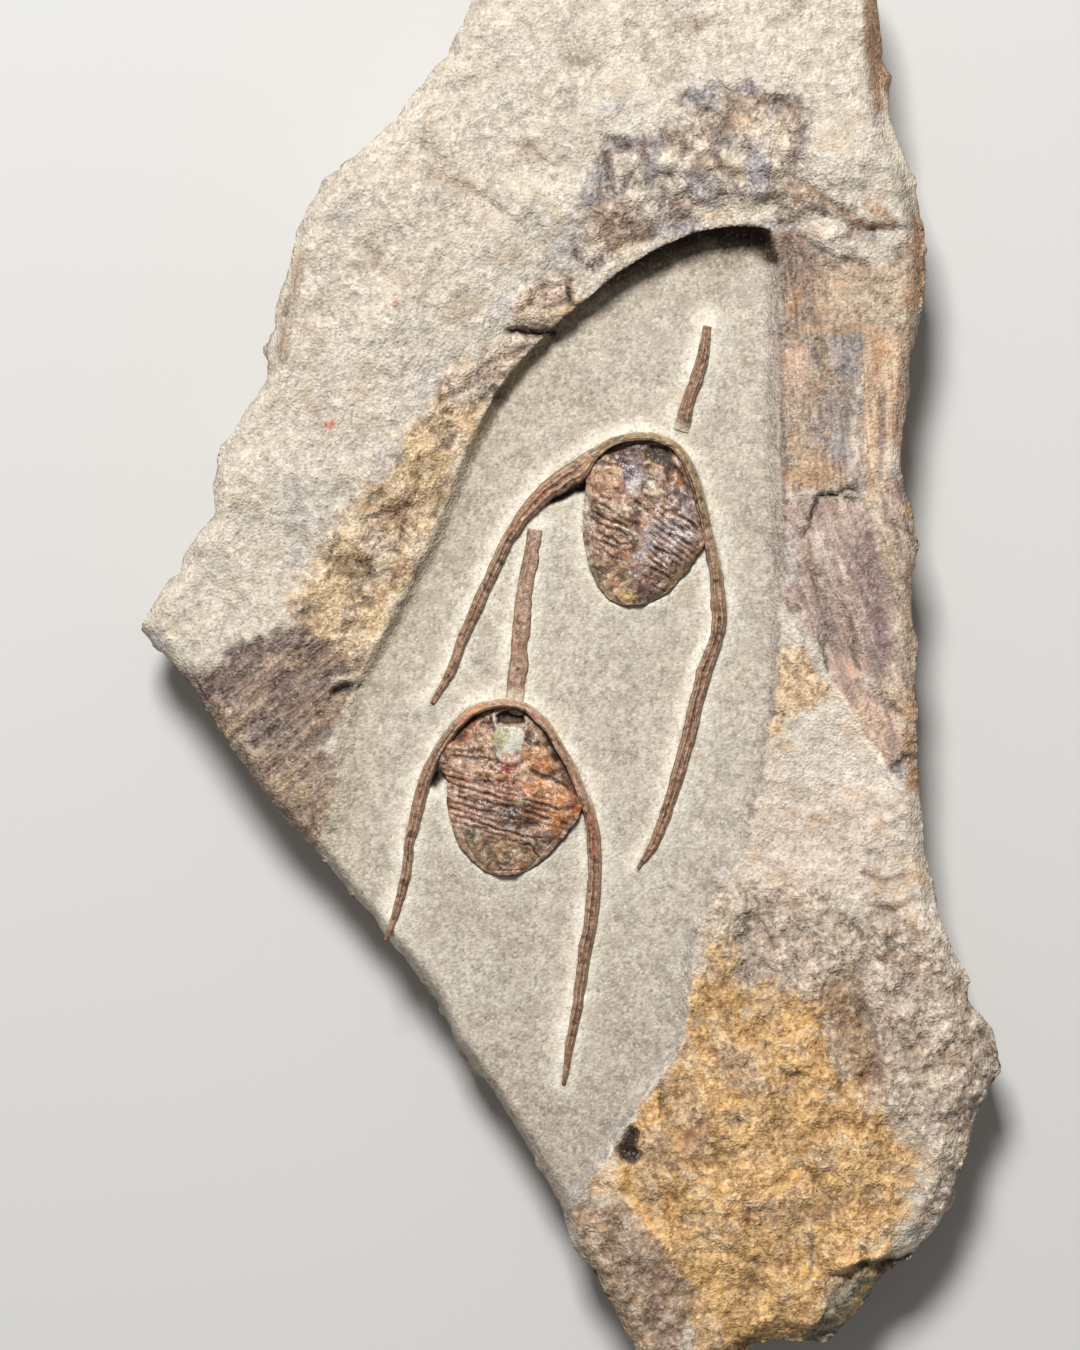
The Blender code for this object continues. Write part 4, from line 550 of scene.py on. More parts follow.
# The bodies' left and right edges, from under the hoop's front back to the tail's end
UPPER_BODY = (
    (
        (6.6, 25.6), (4.0, 24.6), (2.2, 23.0), (1.6, 21.0), (1.6, 18.6), (1.4, 15.8), (1.4, 13.2),
        (1.8, 10.4), (2.4, 8.4), (3.3, 6.7), (4.6, 5.3), (6.3, 4.5),
    ),
    (
        (9.4, 25.6), (11.8, 24.9), (13.9, 22.9), (15.2, 19.6), (16.1, 15.8), (16.6, 12.6), (15.5, 10.8),
        (14.3, 8.9), (13.3, 7.6), (12.3, 6.5), (11.1, 5.6), (9.0, 4.6),
    ),
)
LOWER_BODY = (
    (
        (-9.2, -7.9), (-11.6, -8.6), (-13.9, -10.2), (-15.7, -12.4), (-16.7, -15.0), (-15.7, -17.4),
        (-15.7, -20.0), (-15.3, -22.6), (-14.4, -25.2), (-13.0, -27.0), (-11.3, -28.5), (-9.3, -29.3),
    ),
    (
        (-7.2, -7.9), (-5.0, -9.0), (-3.2, -11.2), (-1.4, -14.2), (0.3, -17.6), (1.2, -19.6), (0.8, -21.6),
        (-0.4, -23.6), (-1.7, -25.2), (-3.3, -26.9), (-5.0, -28.3), (-6.9, -29.2),
    ),
)

# Where among those points the head, thorax and tail begin and end, and how high the middle stands at each
BODY_JOINTS = (0, 4, 7, 11)
BODY_CREST = (0.6, 0.9, 1.4, 1.8, 2.0, 2.1, 2.1, 2.0, 1.8, 1.5, 1.2, 0.9)
BODY_ROWS = 15
BODY_COLUMNS = 96

# Rows of pleural ridges: slope, pitch, phase, amount, the crests' and the furrows' finish, where they show
UPPER_RIDGES = (
    (-0.66, 0.88, 0.30, 0.16, "pale_crest", "furrow", (
        (2.4, 18.4), (5.0, 17.0), (8.2, 14.4), (8.0, 11.0), (5.8, 9.6), (2.6, 10.6))),
    (-0.76, 0.94, 0.80, 0.15, "grey_crest", "furrow", (
        (9.6, 17.0), (12.6, 17.6), (15.2, 14.8), (15.4, 11.4), (13.4, 8.4), (10.4, 8.0), (9.0, 10.0),
        (9.8, 13.0))),
)
LOWER_RIDGES = (
    (-0.30, 0.78, 0.50, 0.18, "pink_crest", "red_furrow", (
        (-16.0, -16.4), (-9.4, -16.8), (-7.4, -18.0), (-7.2, -24.8), (-10.0, -24.6), (-15.6, -23.4))),
    (-0.30, 0.78, 0.50, 0.18, "orange", "red_furrow", (
        (-7.8, -18.0), (-6.2, -19.0), (-1.0, -20.0), (1.2, -21.2), (-1.4, -25.4), (-7.4, -24.8))),
)

# Grooves and cracks of each body: depth before it is scaled, half width, line
GROOVE_SCALE = 0.65
UPPER_GROOVES = (
    (0.25, 0.14, ((3.1, 18.4), (4.1, 17.9), (5.0, 17.6))),
    (0.35, 0.15, ((2.2, 17.6), (3.4, 17.1), (4.8, 16.3))),
    (0.40, 0.15, ((2.2, 16.3), (3.5, 15.7), (5.4, 14.8))),
    (0.40, 0.15, ((2.5, 15.2), (3.9, 14.4), (5.6, 13.7), (6.9, 13.3))),
    (0.40, 0.15, ((2.5, 14.1), (3.9, 13.2), (5.5, 12.4), (7.1, 11.9))),
    (0.40, 0.15, ((2.6, 12.8), (4.1, 12.1), (5.9, 11.6))),
    (0.35, 0.15, ((2.8, 11.6), (4.1, 11.1), (5.5, 10.1))),
    (0.25, 0.15, ((2.1, 9.4), (3.4, 8.8), (4.4, 8.2))),
    (0.50, 0.17, ((12.0, 16.6), (13.4, 15.6), (14.9, 14.8), (16.1, 13.8))),
    (0.30, 0.14, ((12.4, 14.8), (13.6, 14.2), (14.6, 13.7))),
    (0.30, 0.14, ((9.4, 13.6), (10.5, 12.9))),
    (0.45, 0.15, ((11.9, 13.6), (13.4, 12.7), (14.8, 11.8))),
    (0.35, 0.14, ((9.9, 11.9), (11.4, 11.3), (13.4, 10.6))),
    (0.40, 0.15, ((9.8, 10.1), (10.9, 9.4), (12.0, 8.7))),
    (0.40, 0.15, ((9.5, 9.3), (10.9, 8.6), (12.5, 7.8))),
    (0.30, 0.14, ((8.6, 8.4), (9.9, 7.8), (10.6, 7.4))),
    (0.30, 0.15, ((9.6, 7.2), (10.6, 6.6), (11.9, 6.2))),
    (0.35, 0.22, ((4.9, 15.2), (6.1, 14.6), (7.4, 14.2), (8.4, 14.7))),
    (0.30, 0.20, ((2.4, 22.1), (3.9, 22.3), (5.4, 22.2), (6.9, 21.7))),
    (0.30, 0.16, ((7.6, 17.7), (8.4, 17.1), (9.4, 16.2), (10.9, 15.7))),
    (0.35, 0.16, ((8.5, 19.2), (9.0, 18.3), (10.0, 17.7))),
)
LOWER_GROOVES = (
    (0.45, 0.20, ((-3.5, -11.3), (-2.5, -12.9), (-1.2, -15.1), (0.1, -17.3))),
    (0.40, 0.17, ((-15.5, -14.3), (-13.9, -14.4), (-11.9, -14.6), (-9.5, -14.8))),
    (0.25, 0.15, ((-15.1, -13.6), (-12.9, -13.8), (-10.9, -13.8))),
    (0.50, 0.22, ((-5.6, -15.9), (-4.1, -16.6), (-2.6, -17.2), (-1.2, -17.8), (0.1, -18.7))),
    (0.45, 0.15, ((-10.8, -16.6), (-10.4, -17.7), (-9.5, -18.6))),
    (0.45, 0.20, ((-10.4, -15.6), (-9.5, -16.1))),
    (0.35, 0.16, ((-6.1, -12.1), (-4.9, -12.7), (-3.5, -12.7))),
    (0.28, 0.14, ((-15.5, -17.4), (-14.1, -18.2), (-12.1, -18.7), (-10.0, -19.2), (-7.6, -19.7))),
    (0.28, 0.14, (
        (-15.2, -18.7), (-13.9, -19.4), (-12.1, -19.8), (-10.1, -20.3), (-7.6, -20.6), (-5.4, -21.3),
        (-3.1, -22.2), (-1.9, -22.6))),
    (0.28, 0.14, (
        (-14.8, -20.1), (-13.1, -20.7), (-11.6, -21.2), (-9.6, -21.4), (-7.2, -22.1), (-5.1, -22.8),
        (-2.6, -23.4))),
    (0.28, 0.14, (
        (-13.6, -21.6), (-12.2, -22.3), (-10.4, -23.1), (-8.5, -23.7), (-6.6, -24.2), (-4.8, -24.6),
        (-2.6, -24.6))),
    (0.35, 0.15, ((-14.0, -22.8), (-12.1, -23.2), (-10.4, -23.4))),
    (0.30, 0.14, ((-6.6, -19.7), (-4.8, -20.1), (-2.9, -20.6), (-1.4, -21.2))),
    (0.40, 0.14, ((-5.6, -25.2), (-4.8, -26.1), (-4.0, -27.1))),
    (0.25, 0.15, ((-9.1, -24.6), (-6.9, -25.1), (-5.1, -25.4))),
)

# Fossil finishes: light, dark and stain
SKINS = {
    "umber": ((176, 140, 112), (70, 46, 32), (120, 80, 54)),
    "shell": ((208, 172, 146), (98, 70, 54), (152, 112, 86)),
    # Painted shade, dark brown, in hollows, pits and grooves and under the tail's edge.
    "groove_shade": ((64, 44, 32), (28, 18, 12), (44, 28, 18)),
    "glint": ((244, 232, 214), (214, 190, 164), (230, 210, 180)),
    # Painted shadow, near black, in the deep hollows under the hoops' fronts.
    "black_shade": ((36, 28, 22), (14, 10, 8), (24, 18, 14)),
    "dark": ((88, 64, 52), (30, 20, 16), (60, 42, 32)),
    "olive": ((168, 148, 104), (88, 68, 42), (124, 100, 62)),
    "peach": ((222, 180, 148), (120, 84, 62), (192, 142, 102)),
    "blue": ((150, 136, 140), (66, 56, 64), (108, 94, 92)),
    "cream": ((230, 218, 190), (158, 138, 108), (192, 172, 128)),
    "grey": ((202, 190, 188), (106, 94, 92), (160, 140, 130)),
    "plum": ((126, 100, 94), (58, 40, 36), (92, 68, 58)),
    "tan": ((214, 182, 142), (116, 84, 56), (180, 140, 96)),
    "orange": ((242, 176, 116), (158, 86, 44), (222, 136, 74)),
    "red": ((188, 84, 48), (90, 24, 10), (150, 48, 22)),
    "rust": ((190, 118, 74), (80, 40, 22), (150, 84, 46)),
    "gloss": ((112, 64, 38), (34, 18, 10), (74, 40, 22)),
    "furrow": ((126, 86, 62), (54, 33, 23), (90, 56, 38)),
    "red_furrow": ((136, 76, 46), (50, 24, 14), (100, 48, 26)),
    "pale_crest": ((234, 206, 176), (178, 138, 106), (216, 176, 138)),
    "grey_crest": ((212, 202, 196), (150, 136, 130), (190, 170, 154)),
    "pink_crest": ((230, 194, 170), (158, 110, 84), (206, 148, 112)),
    "plug": ((216, 212, 198), (164, 158, 138), (186, 178, 148)),
    "plug_olive": ((192, 182, 136), (122, 110, 70), (156, 142, 94)),
    "brown": ((180, 142, 110), (80, 54, 38), (138, 98, 66)),
    "buff": ((224, 198, 166), (138, 108, 82), (198, 162, 122)),
    "gold": ((232, 200, 128), (148, 108, 58), (204, 162, 92)),
    "pale_edge": ((210, 196, 174), (134, 114, 94), (180, 158, 130)),
    "band": ((202, 174, 128), (110, 82, 50), (158, 126, 80)),
    "spine": ((188, 148, 118), (100, 68, 48), (146, 104, 74)),
    "moss": ((184, 168, 138), (92, 78, 60), (140, 120, 92)),
    "nose": ((200, 166, 142), (128, 96, 76), (160, 122, 96)),
    "matrix": ((240, 230, 208), (206, 190, 164), (210, 192, 160)),
}

# Patches of each body: finish, how far it stands up, softness of its border, outline
UPPER_PATCHES = (
    ("plum", -0.30, 0.4, ((3.6, 24.2), (6.5, 25.2), (9.2, 25.2), (9.2, 22.8), (6.8, 22.4), (4.6, 22.5))),
    ("peach", 0.05, 0.9, (
        (1.5, 21.6), (4.1, 22.4), (6.1, 21.8), (6.3, 18.9), (4.9, 17.7), (3.4, 18.0), (1.6, 18.8))),
    ("cream", 0.10, 0.3, ((1.6, 22.4), (3.6, 22.9), (3.6, 21.7), (1.8, 21.4))),
    ("gold", 0.05, 0.15, ((5.1, 22.0), (6.3, 21.7), (6.1, 20.7), (5.2, 20.9))),
    ("olive", 0.10, 0.3, ((8.8, 25.0), (9.8, 25.2), (10.3, 21.4), (10.6, 20.0), (9.2, 19.7), (8.9, 22.1))),
    # Painted shadow in the hollow under the hoop's front.
    ("black_shade", -0.50, 0.3, (
        (9.2, 24.4), (11.9, 24.8), (13.0, 22.9), (12.7, 20.2), (11.9, 19.8), (11.3, 22.0), (9.9, 22.3),
        (9.2, 23.2))),
    ("dark", -0.20, 0.4, ((12.8, 22.4), (14.2, 20.8), (15.0, 17.6), (15.2, 15.8), (13.9, 16.8), (12.8, 18.6))),
    ("brown", 0.00, 0.3, ((12.4, 21.8), (13.8, 20.4), (13.6, 18.8), (12.5, 19.2))),
    ("blue", 0.05, 0.25, ((6.2, 22.4), (8.8, 22.6), (9.0, 20.4), (8.2, 19.4), (6.6, 19.8), (6.0, 21.0))),
    ("grey", 0.05, 0.4, ((6.4, 19.9), (8.8, 20.2), (9.2, 18.6), (8.0, 17.8), (6.4, 18.4))),
    ("grey", 0.05, 0.4, ((11.2, 18.9), (13.6, 19.2), (15.2, 17.6), (14.9, 16.4), (12.6, 16.9))),
    ("cream", 0.15, 0.2, ((9.0, 20.3), (10.0, 20.0), (11.8, 18.5), (11.2, 17.3), (9.9, 18.3))),
    ("cream", 0.35, 0.4, ((4.7, 17.1), (6.4, 17.6), (7.6, 16.4), (6.8, 15.3), (5.1, 15.6))),
    # Painted shade in a sunk furrow across the thorax.
    ("groove_shade", -0.20, 0.3, ((4.7, 15.3), (6.3, 15.0), (8.4, 15.2), (8.6, 14.6), (6.5, 14.2), (5.0, 14.6))),
    ("tan", 0.20, 0.3, ((7.8, 18.2), (9.6, 17.5), (11.4, 16.4), (11.0, 15.3), (9.0, 15.6), (7.8, 16.6))),
    ("brown", 0.00, 0.5, ((5.2, 14.6), (8.2, 14.4), (8.6, 12.4), (7.4, 10.2), (5.2, 10.4))),
    ("grey", 0.15, 0.6, ((8.4, 14.0), (10.9, 16.0), (13.0, 15.6), (12.4, 11.4), (9.8, 8.7), (7.4, 8.1))),
    ("grey", 0.05, 0.6, ((12.2, 17.4), (14.8, 16.0), (15.8, 13.0), (13.0, 12.6), (11.6, 14.8))),
    ("brown", -0.15, 0.5, ((3.2, 12.2), (5.6, 12.0), (7.4, 11.4), (7.0, 10.2), (4.6, 10.4))),
    ("buff", 0.05, 0.6, ((2.0, 10.6), (4.9, 9.1), (7.1, 7.4), (6.9, 5.0), (4.9, 5.2), (3.1, 7.0))),
    ("pale_edge", 0.00, 0.25, (
        (1.0, 19.0), (2.3, 18.8), (2.2, 13.5), (2.6, 10.2), (3.6, 7.6), (2.4, 7.6), (1.2, 11.0))),
    ("gold", 0.05, 0.2, ((5.6, 6.2), (7.8, 6.4), (7.8, 5.2), (6.0, 5.0))),
    ("plum", -0.10, 0.4, ((8.0, 6.8), (10.2, 7.3), (11.8, 6.4), (10.4, 4.9), (7.8, 4.8))),
    ("brown", 0.05, 0.4, ((10.0, 9.4), (13.0, 9.8), (13.6, 8.2), (11.9, 6.9), (10.2, 7.4))),
    ("olive", -0.10, 0.3, (
        (14.0, 10.0), (15.6, 10.4), (13.6, 7.4), (11.4, 5.4), (9.8, 4.6), (9.8, 5.4), (12.2, 7.2))),
)
LOWER_PATCHES = (
    ("rust", -0.20, 0.5, (
        (-15.8, -12.4), (-14.8, -10.6), (-13.4, -9.0), (-10.2, -7.9), (-9.9, -9.3), (-10.0, -12.6),
        (-12.4, -12.9), (-14.6, -12.8))),
    ("dark", -0.10, 0.5, ((-16.4, -13.2), (-15.0, -10.6), (-12.9, -8.9), (-12.6, -10.2), (-14.0, -12.2))),
    ("brown", 0.00, 0.4, ((-13.4, -11.0), (-10.2, -9.8), (-9.9, -11.4), (-12.4, -12.2))),
    ("tan", 0.00, 0.3, ((-14.6, -12.6), (-12.4, -12.0), (-10.0, -11.4), (-10.0, -12.4), (-13.0, -13.2))),
    ("brown", 0.10, 0.5, (
        (-16.4, -12.8), (-13.0, -12.8), (-10.0, -12.8), (-9.8, -14.8), (-13.0, -14.6), (-16.6, -15.4))),
    ("brown", 0.10, 0.4, ((-6.2, -9.8), (-4.4, -10.2), (-3.0, -12.4), (-4.4, -13.2), (-6.2, -12.8))),
    ("orange", 0.15, 0.4, ((-6.0, -13.4), (-3.6, -13.2), (-1.6, -16.6), (-3.4, -17.0), (-6.2, -16.2))),
    ("gloss", -0.35, 0.35, (
        (-4.0, -10.0), (-2.4, -11.4), (-0.4, -15.0), (1.4, -18.8), (0.4, -19.4), (-1.6, -16.0), (-3.2, -12.8))),
    # Painted shadow in the deep hole under the hoop's front.
    ("black_shade", -1.10, 0.2, (
        (-9.8, -9.2), (-8.8, -8.5), (-7.4, -8.4), (-6.2, -9.0), (-6.0, -10.1), (-7.6, -10.4), (-9.5, -10.3))),
    ("plug", 0.25, 0.2, (
        (-9.9, -10.3), (-9.7, -13.4), (-9.1, -14.8), (-8.1, -15.3), (-6.7, -15.1), (-6.4, -13.0), (-5.9, -11.6),
        (-6.7, -10.7), (-8.1, -10.4))),
    ("plug_olive", 0.00, 0.4, ((-10.0, -10.4), (-7.6, -10.4), (-8.2, -12.0), (-9.2, -13.2), (-9.9, -13.0))),
    ("pink_crest", 0.00, 0.3, ((-8.9, -14.4), (-6.4, -13.9), (-6.5, -15.9), (-7.1, -16.6), (-7.9, -15.3))),
    ("peach", 0.10, 0.5, (
        (-15.8, -15.1), (-10.4, -15.4), (-9.1, -16.7), (-9.4, -19.2), (-12.9, -18.9), (-15.4, -17.6))),
    ("rust", 0.00, 0.5, ((-9.2, -16.2), (-6.6, -16.6), (-6.4, -19.6), (-9.2, -20.2), (-10.6, -18.4))),
    ("orange", 0.15, 0.4, (
        (-6.3, -16.9), (-3.1, -17.3), (-0.4, -18.6), (0.6, -19.8), (-1.6, -21.0), (-4.8, -20.0), (-6.6, -19.2))),
    ("red", 0.10, 0.25, ((-9.1, -15.2), (-7.4, -15.3), (-6.9, -16.1), (-8.1, -16.5), (-9.1, -16.1))),
    ("red", 0.20, 0.25, ((-0.8, -19.5), (0.6, -19.5), (1.1, -20.7), (0.1, -21.2), (-0.8, -20.5))),
    ("dark", -0.10, 0.6, (
        (-9.1, -19.9), (-5.4, -19.9), (-3.1, -20.9), (-4.1, -22.8), (-6.6, -23.6), (-9.1, -22.5))),
    ("orange", 0.00, 0.5, ((-2.4, -21.0), (0.6, -21.2), (-0.4, -23.4), (-2.6, -24.6), (-3.6, -22.8))),
    ("moss", 0.00, 0.6, (
        (-15.8, -22.6), (-12.4, -22.0), (-10.6, -24.1), (-9.6, -26.4), (-11.9, -27.6), (-14.8, -25.4))),
    ("tan", 0.05, 0.5, ((-10.2, -24.3), (-6.4, -24.8), (-6.4, -26.3), (-9.6, -26.8))),
    ("moss", 0.00, 0.5, ((-6.4, -24.8), (-3.4, -25.2), (-4.6, -27.4), (-6.6, -27.6))),
    ("pale_edge", -0.05, 0.3, (
        (0.8, -21.8), (-0.1, -24.2), (-1.6, -25.8), (-3.5, -27.5), (-5.6, -29.0), (-6.1, -28.3), (-3.5, -26.0),
        (-1.6, -24.1), (-0.6, -22.3))),
)

# Finishes that stay even, with few flecks and glints
QUIET = ("black_shade", "dark", "gloss", "plug", "plug_olive", "plum", "blue")

# Flecks of the bodies: finish, lowest and highest tone, share. The glints are painted highlights, and the darkest
# flecks painted shade of tiny recesses.
FLECKS = (
    ("peach", 0.70, 1.00, 0.55), ("glint", 0.50, 0.60, 0.25), ("rust", 0.20, 0.36, 0.50),
    ("blue", 0.0, 0.10, 0.45), ("tan", -0.30, -0.16, 0.50), ("dark", -0.62, -0.45, 0.55),
    ("groove_shade", -1.00, -0.82, 0.60),
)

# Deep pits, painted dark with shade: depth, outline
PITS = (
    (0.9, ((-3.4, 17.2), (-1.6, 18.9), (0.2, 19.6), (2.0, 20.2), (2.0, 18.9), (0.2, 18.6), (-1.2, 17.9))),
    (1.0, ((-30.3, -6.1), (-28.6, -5.5), (-26.8, -5.3), (-26.6, -5.8), (-28.4, -6.2), (-30.0, -6.6))),
    (1.0, (
        (7.2, -60.6), (8.4, -61.4), (8.0, -63.0), (8.8, -64.4), (7.4, -65.6), (6.2, -65.0), (5.2, -63.6),
        (6.4, -62.6))),
    (0.8, ((-18.0, -17.9), (-17.4, -16.2), (-16.0, -15.8), (-15.4, -16.6), (-16.4, -17.3), (-17.2, -18.4))),
)

# The photo's middle and scale: the camera looks straight down at this place and sees this much of it
CAMERA_AT = (-4.1, -4.2)
CAMERA_FOCUS_HEIGHT = 17.0
VIEW_HEIGHT = 168.75
CAMERA_DISTANCE = 533.0
SENSOR = 36.0
CLIP_START = 0.01

# The stage in metres: half the floor's width, and the key light's place, size and power
STAGE_HALF_WIDTH = 3.0
KEY_LIGHT = ((-0.12, 0.46, 0.74), 0.2, 10.6)

# How much brighter than its own colour a flat, level surface comes out
LIGHT_GAIN = 1.15


def seen(colour):
    """A colour as it looks under the light, 0 to 255, as the linear values that give it."""
    share = np.asarray(colour, float) / 255.0
    return ((share + 0.055) / 1.055) ** 2.4 / LIGHT_GAIN


def smooth_step(low, high, value):
    """0 below low, 1 above high, and an even S between."""
    share = np.clip((value - low) / (high - low), 0.0, 1.0)
    return share * share * (3.0 - 2.0 * share)


def corner_value(column, row, seed):
    """A steady value from -1 to 1 for each corner of a lattice."""
    mixed = np.sin(column * 127.1 + row * 311.7 + seed * 74.7) * 43758.5453
    return 2.0 * (mixed - np.floor(mixed)) - 1.0


def lumpiness(x, y, size, seed):
    """Smooth unevenness from -1 to 1, with lumps about size across."""
    column, row = np.floor(x / size), np.floor(y / size)
    across, up = x / size - column, y / size - row
    across = across * across * (3.0 - 2.0 * across)
    up = up * up * (3.0 - 2.0 * up)
    low = corner_value(column, row, seed) * (1.0 - across) + corner_value(column + 1, row, seed) * across
    row = row + 1
    high = corner_value(column, row, seed) * (1.0 - across) + corner_value(column + 1, row, seed) * across
    return low * (1.0 - up) + high * up


def turned(x, y, degrees):
    """Places seen along and across a direction."""
    angle = math.radians(degrees)
    return x * math.cos(angle) + y * math.sin(angle), y * math.cos(angle) - x * math.sin(angle)


def fractal(x, y, size, seed, octaves=4, share=0.55):
    """Lumps of several sizes, each half as wide as the last, from about -1 to 1."""
    total, weight, whole = 0.0, 1.0, 0.0
    for octave in range(octaves):
        total = total + weight * lumpiness(*turned(x, y, 33.0 + 71.0 * octave), size, seed + 17 * octave)
        whole += weight
        weight *= share
        size *= 0.5
    return total / whole * 1.5


def billow(x, y, size, seed, octaves=3):
    """Rounded lumps of several sizes with creases between them, from 0 to 1."""
    total, weight, whole = 0.0, 1.0, 0.0
    for octave in range(octaves):
        lump = lumpiness(*turned(x, y, 19.0 + 57.0 * octave), size, seed + 13 * octave)
        total = total + weight * np.sqrt(np.abs(lump))
        whole += weight
        weight *= 0.5
        size *= 0.45
    return total / whole


def streaks(x, y, degrees, length, width, seed):
    """Unevenness drawn out along a direction."""
    along, across = turned(x, y, degrees)
    bent = across + 0.5 * width * lumpiness(along, across, 2.0 * length, seed + 5)
    return (
        0.6 * lumpiness(along / length, bent / width, 1.0, seed)
        + 0.4 * lumpiness(along / length, bent / width, 0.5, seed + 1)
        + 0.3 * lumpiness(along / length, bent / width, 0.25, seed + 2)
    )


def lattice_neighbours(x, y, size, seed):
    """For each of the nine cells round a point, where the cell's own spot is and the cell's number."""
    column, row = np.floor(x / size), np.floor(y / size)
    for i in (-1, 0, 1):
        for j in (-1, 0, 1):
            c, r = column + i, row + j
            spot_x = c + 0.5 + 0.45 * corner_value(c, r, seed)
            spot_y = r + 0.5 + 0.45 * corner_value(c, r, seed + 1)
            yield x / size - spot_x, y / size - spot_y, c, r


def facets(x, y, size, seed):
    """Broken faces about size across that meet in creases, from about -1 to 1."""
    best = np.full(x.shape, -9.0)
    for dx, dy, c, r in lattice_neighbours(x, y, size, seed):
        tilt = corner_value(c, r, seed + 3) * dx + corner_value(c, r, seed + 4) * dy
        face = 0.45 * corner_value(c, r, seed + 2) + 0.9 * tilt - 0.8 * (dx * dx + dy * dy)
        best = np.maximum(best, face)
    return 1.6 * best


def pebbles(x, y, size, seed):
    """Grains about size across with creases between them, from 0 to 1."""
    first = np.full(x.shape, 9.0)
    second = np.full(x.shape, 9.0)
    for dx, dy, _, _ in lattice_neighbours(x, y, size, seed):
        away = np.hypot(dx, dy)
        second = np.minimum(second, np.maximum(first, away))
        first = np.minimum(first, away)
    return smooth_step(0.0, 0.45, second - first)


def terraces(height, step, rise):
    """A height turned into flat steps with short rises between them."""
    level = np.floor(height / step)
    return step * (level + smooth_step(0.5 - rise / 2, 0.5 + rise / 2, height / step - level))


def along_curve(stations, spacing, smooth=True):
    """The stations' columns, read about every spacing along a line or a curve through them."""
    stations = np.asarray(stations, float)
    steps = np.hypot(*np.diff(stations[:, :2], axis=0).T)
    at = np.concatenate(([0.0], np.cumsum(steps)))
    wanted = np.linspace(0.0, at[-1], max(2, int(round(at[-1] / spacing)) + 1))
    if not smooth:
        return np.column_stack([np.interp(wanted, at, column) for column in stations.T])
    return curve_through(stations, at, wanted)


def curve_through(stations, at, wanted):
    """A smooth curve through stations that lie at given values, read at the wanted values."""
    slopes = np.gradient(stations, at, axis=0)
    first = np.clip(np.searchsorted(at, wanted, side="right") - 1, 0, len(at) - 2)
    length = (at[first + 1] - at[first])[:, None]
    t = (wanted - at[first])[:, None] / length
    return (
        stations[first] * (2 * t**3 - 3 * t**2 + 1)
        + slopes[first] * length * (t**3 - 2 * t**2 + t)
        + stations[first + 1] * (3 * t**2 - 2 * t**3)
        + slopes[first + 1] * length * (t**3 - t**2)
    )


def from_line(x, y, line):
    """Each point's distance from a line, how far along it, 0 to 1, and 1 or -1 for its left or right side."""
    line = np.asarray(line, float)
    steps = np.hypot(*np.diff(line, axis=0).T)
    before = np.concatenate(([0.0], np.cumsum(steps)))
    nearest = np.full(x.shape, np.inf)
    along = np.zeros(x.shape)
    side = np.ones(x.shape)
    for (x0, y0), (x1, y1), step, start in zip(line[:-1], line[1:], steps, before):
        dx, dy = (x1 - x0) / step, (y1 - y0) / step
        reach = np.clip((x - x0) * dx + (y - y0) * dy, 0.0, step)
        away = np.hypot(x - x0 - reach * dx, y - y0 - reach * dy)
        nearer = away < nearest
        nearest = np.where(nearer, away, nearest)
        along = np.where(nearer, (start + reach) / before[-1], along)
        side = np.where(nearer, np.where(dx * (y - y0) - dy * (x - x0) > 0.0, 1.0, -1.0), side)
    return nearest, along, side


def inside(x, y, outline):
    """Which points lie inside a closed outline."""
    outline = np.asarray(outline, float)
    found = np.zeros(x.shape, bool)
    for (x0, y0), (x1, y1) in zip(outline, np.roll(outline, -1, axis=0)):
        if y0 == y1:
            continue
        crosses = (y0 > y) != (y1 > y)
        found ^= crosses & (x < x0 + (y - y0) * (x1 - x0) / (y1 - y0))
    return found


def within(x, y, line, reach):
    """Which points lie in the box round a line, and reach beyond it."""
    line = np.asarray(line, float)
    low, high = line.min(axis=0) - reach, line.max(axis=0) + reach
    return (x > low[0]) & (x < high[0]) & (y > low[1]) & (y < high[1])


def tapered(along):
    """1 along a line, fading to 0 towards its ends."""
    return smooth_step(0.0, LINE_ENDS, along) * smooth_step(0.0, LINE_ENDS, 1.0 - along)


def stroke(x, y, line, width):
    """1 along a line, fading to 0 away from it and towards its ends."""
    found = np.zeros(x.shape)
    near = within(x, y, line, 3.0 * width)
    away, along, _ = from_line(x[near], y[near], line)
    ends = tapered(along)
    found[near] = ends * np.exp(-((away / width) ** 2))
    return found


def spread(x, y, spots, reach):
    """A smooth average of the values at chosen spots, nearer spots counting for more."""
    total = np.zeros((len(spots[0]) - 2,) + x.shape)
    weight = np.zeros(x.shape)
    for spot in spots:
        share = np.exp(-((x - spot[0]) ** 2 + (y - spot[1]) ** 2) / reach**2) + 1e-9
        weight += share
        for column, value in enumerate(spot[2:]):
            total[column] += share * value
    return total / weight


def region_share(x, y, outline, border, wander):
    """1 inside a region and 0 outside, with a border that wanders."""
    outline = np.asarray(outline, float)
    found = np.zeros(x.shape)
    near = within(x, y, outline, 3.0)
    away, _, _ = from_line(x[near], y[near], np.vstack((outline, outline[:1])))
    depth = np.where(inside(x[near], y[near], outline), away, -away)
    found[near] = smooth_step(-border, border, depth + wander[near])
    return found


def slab_outline(spacing):
    """The slab's outline as points about spacing apart, anticlockwise."""
    corners = np.array(LEFT_EDGE + TOP_EDGE + RIGHT_EDGE + BOTTOM_EDGE + LEFT_EDGE[:1])
    return along_curve(corners, spacing, smooth=False)[:-1][::-1]


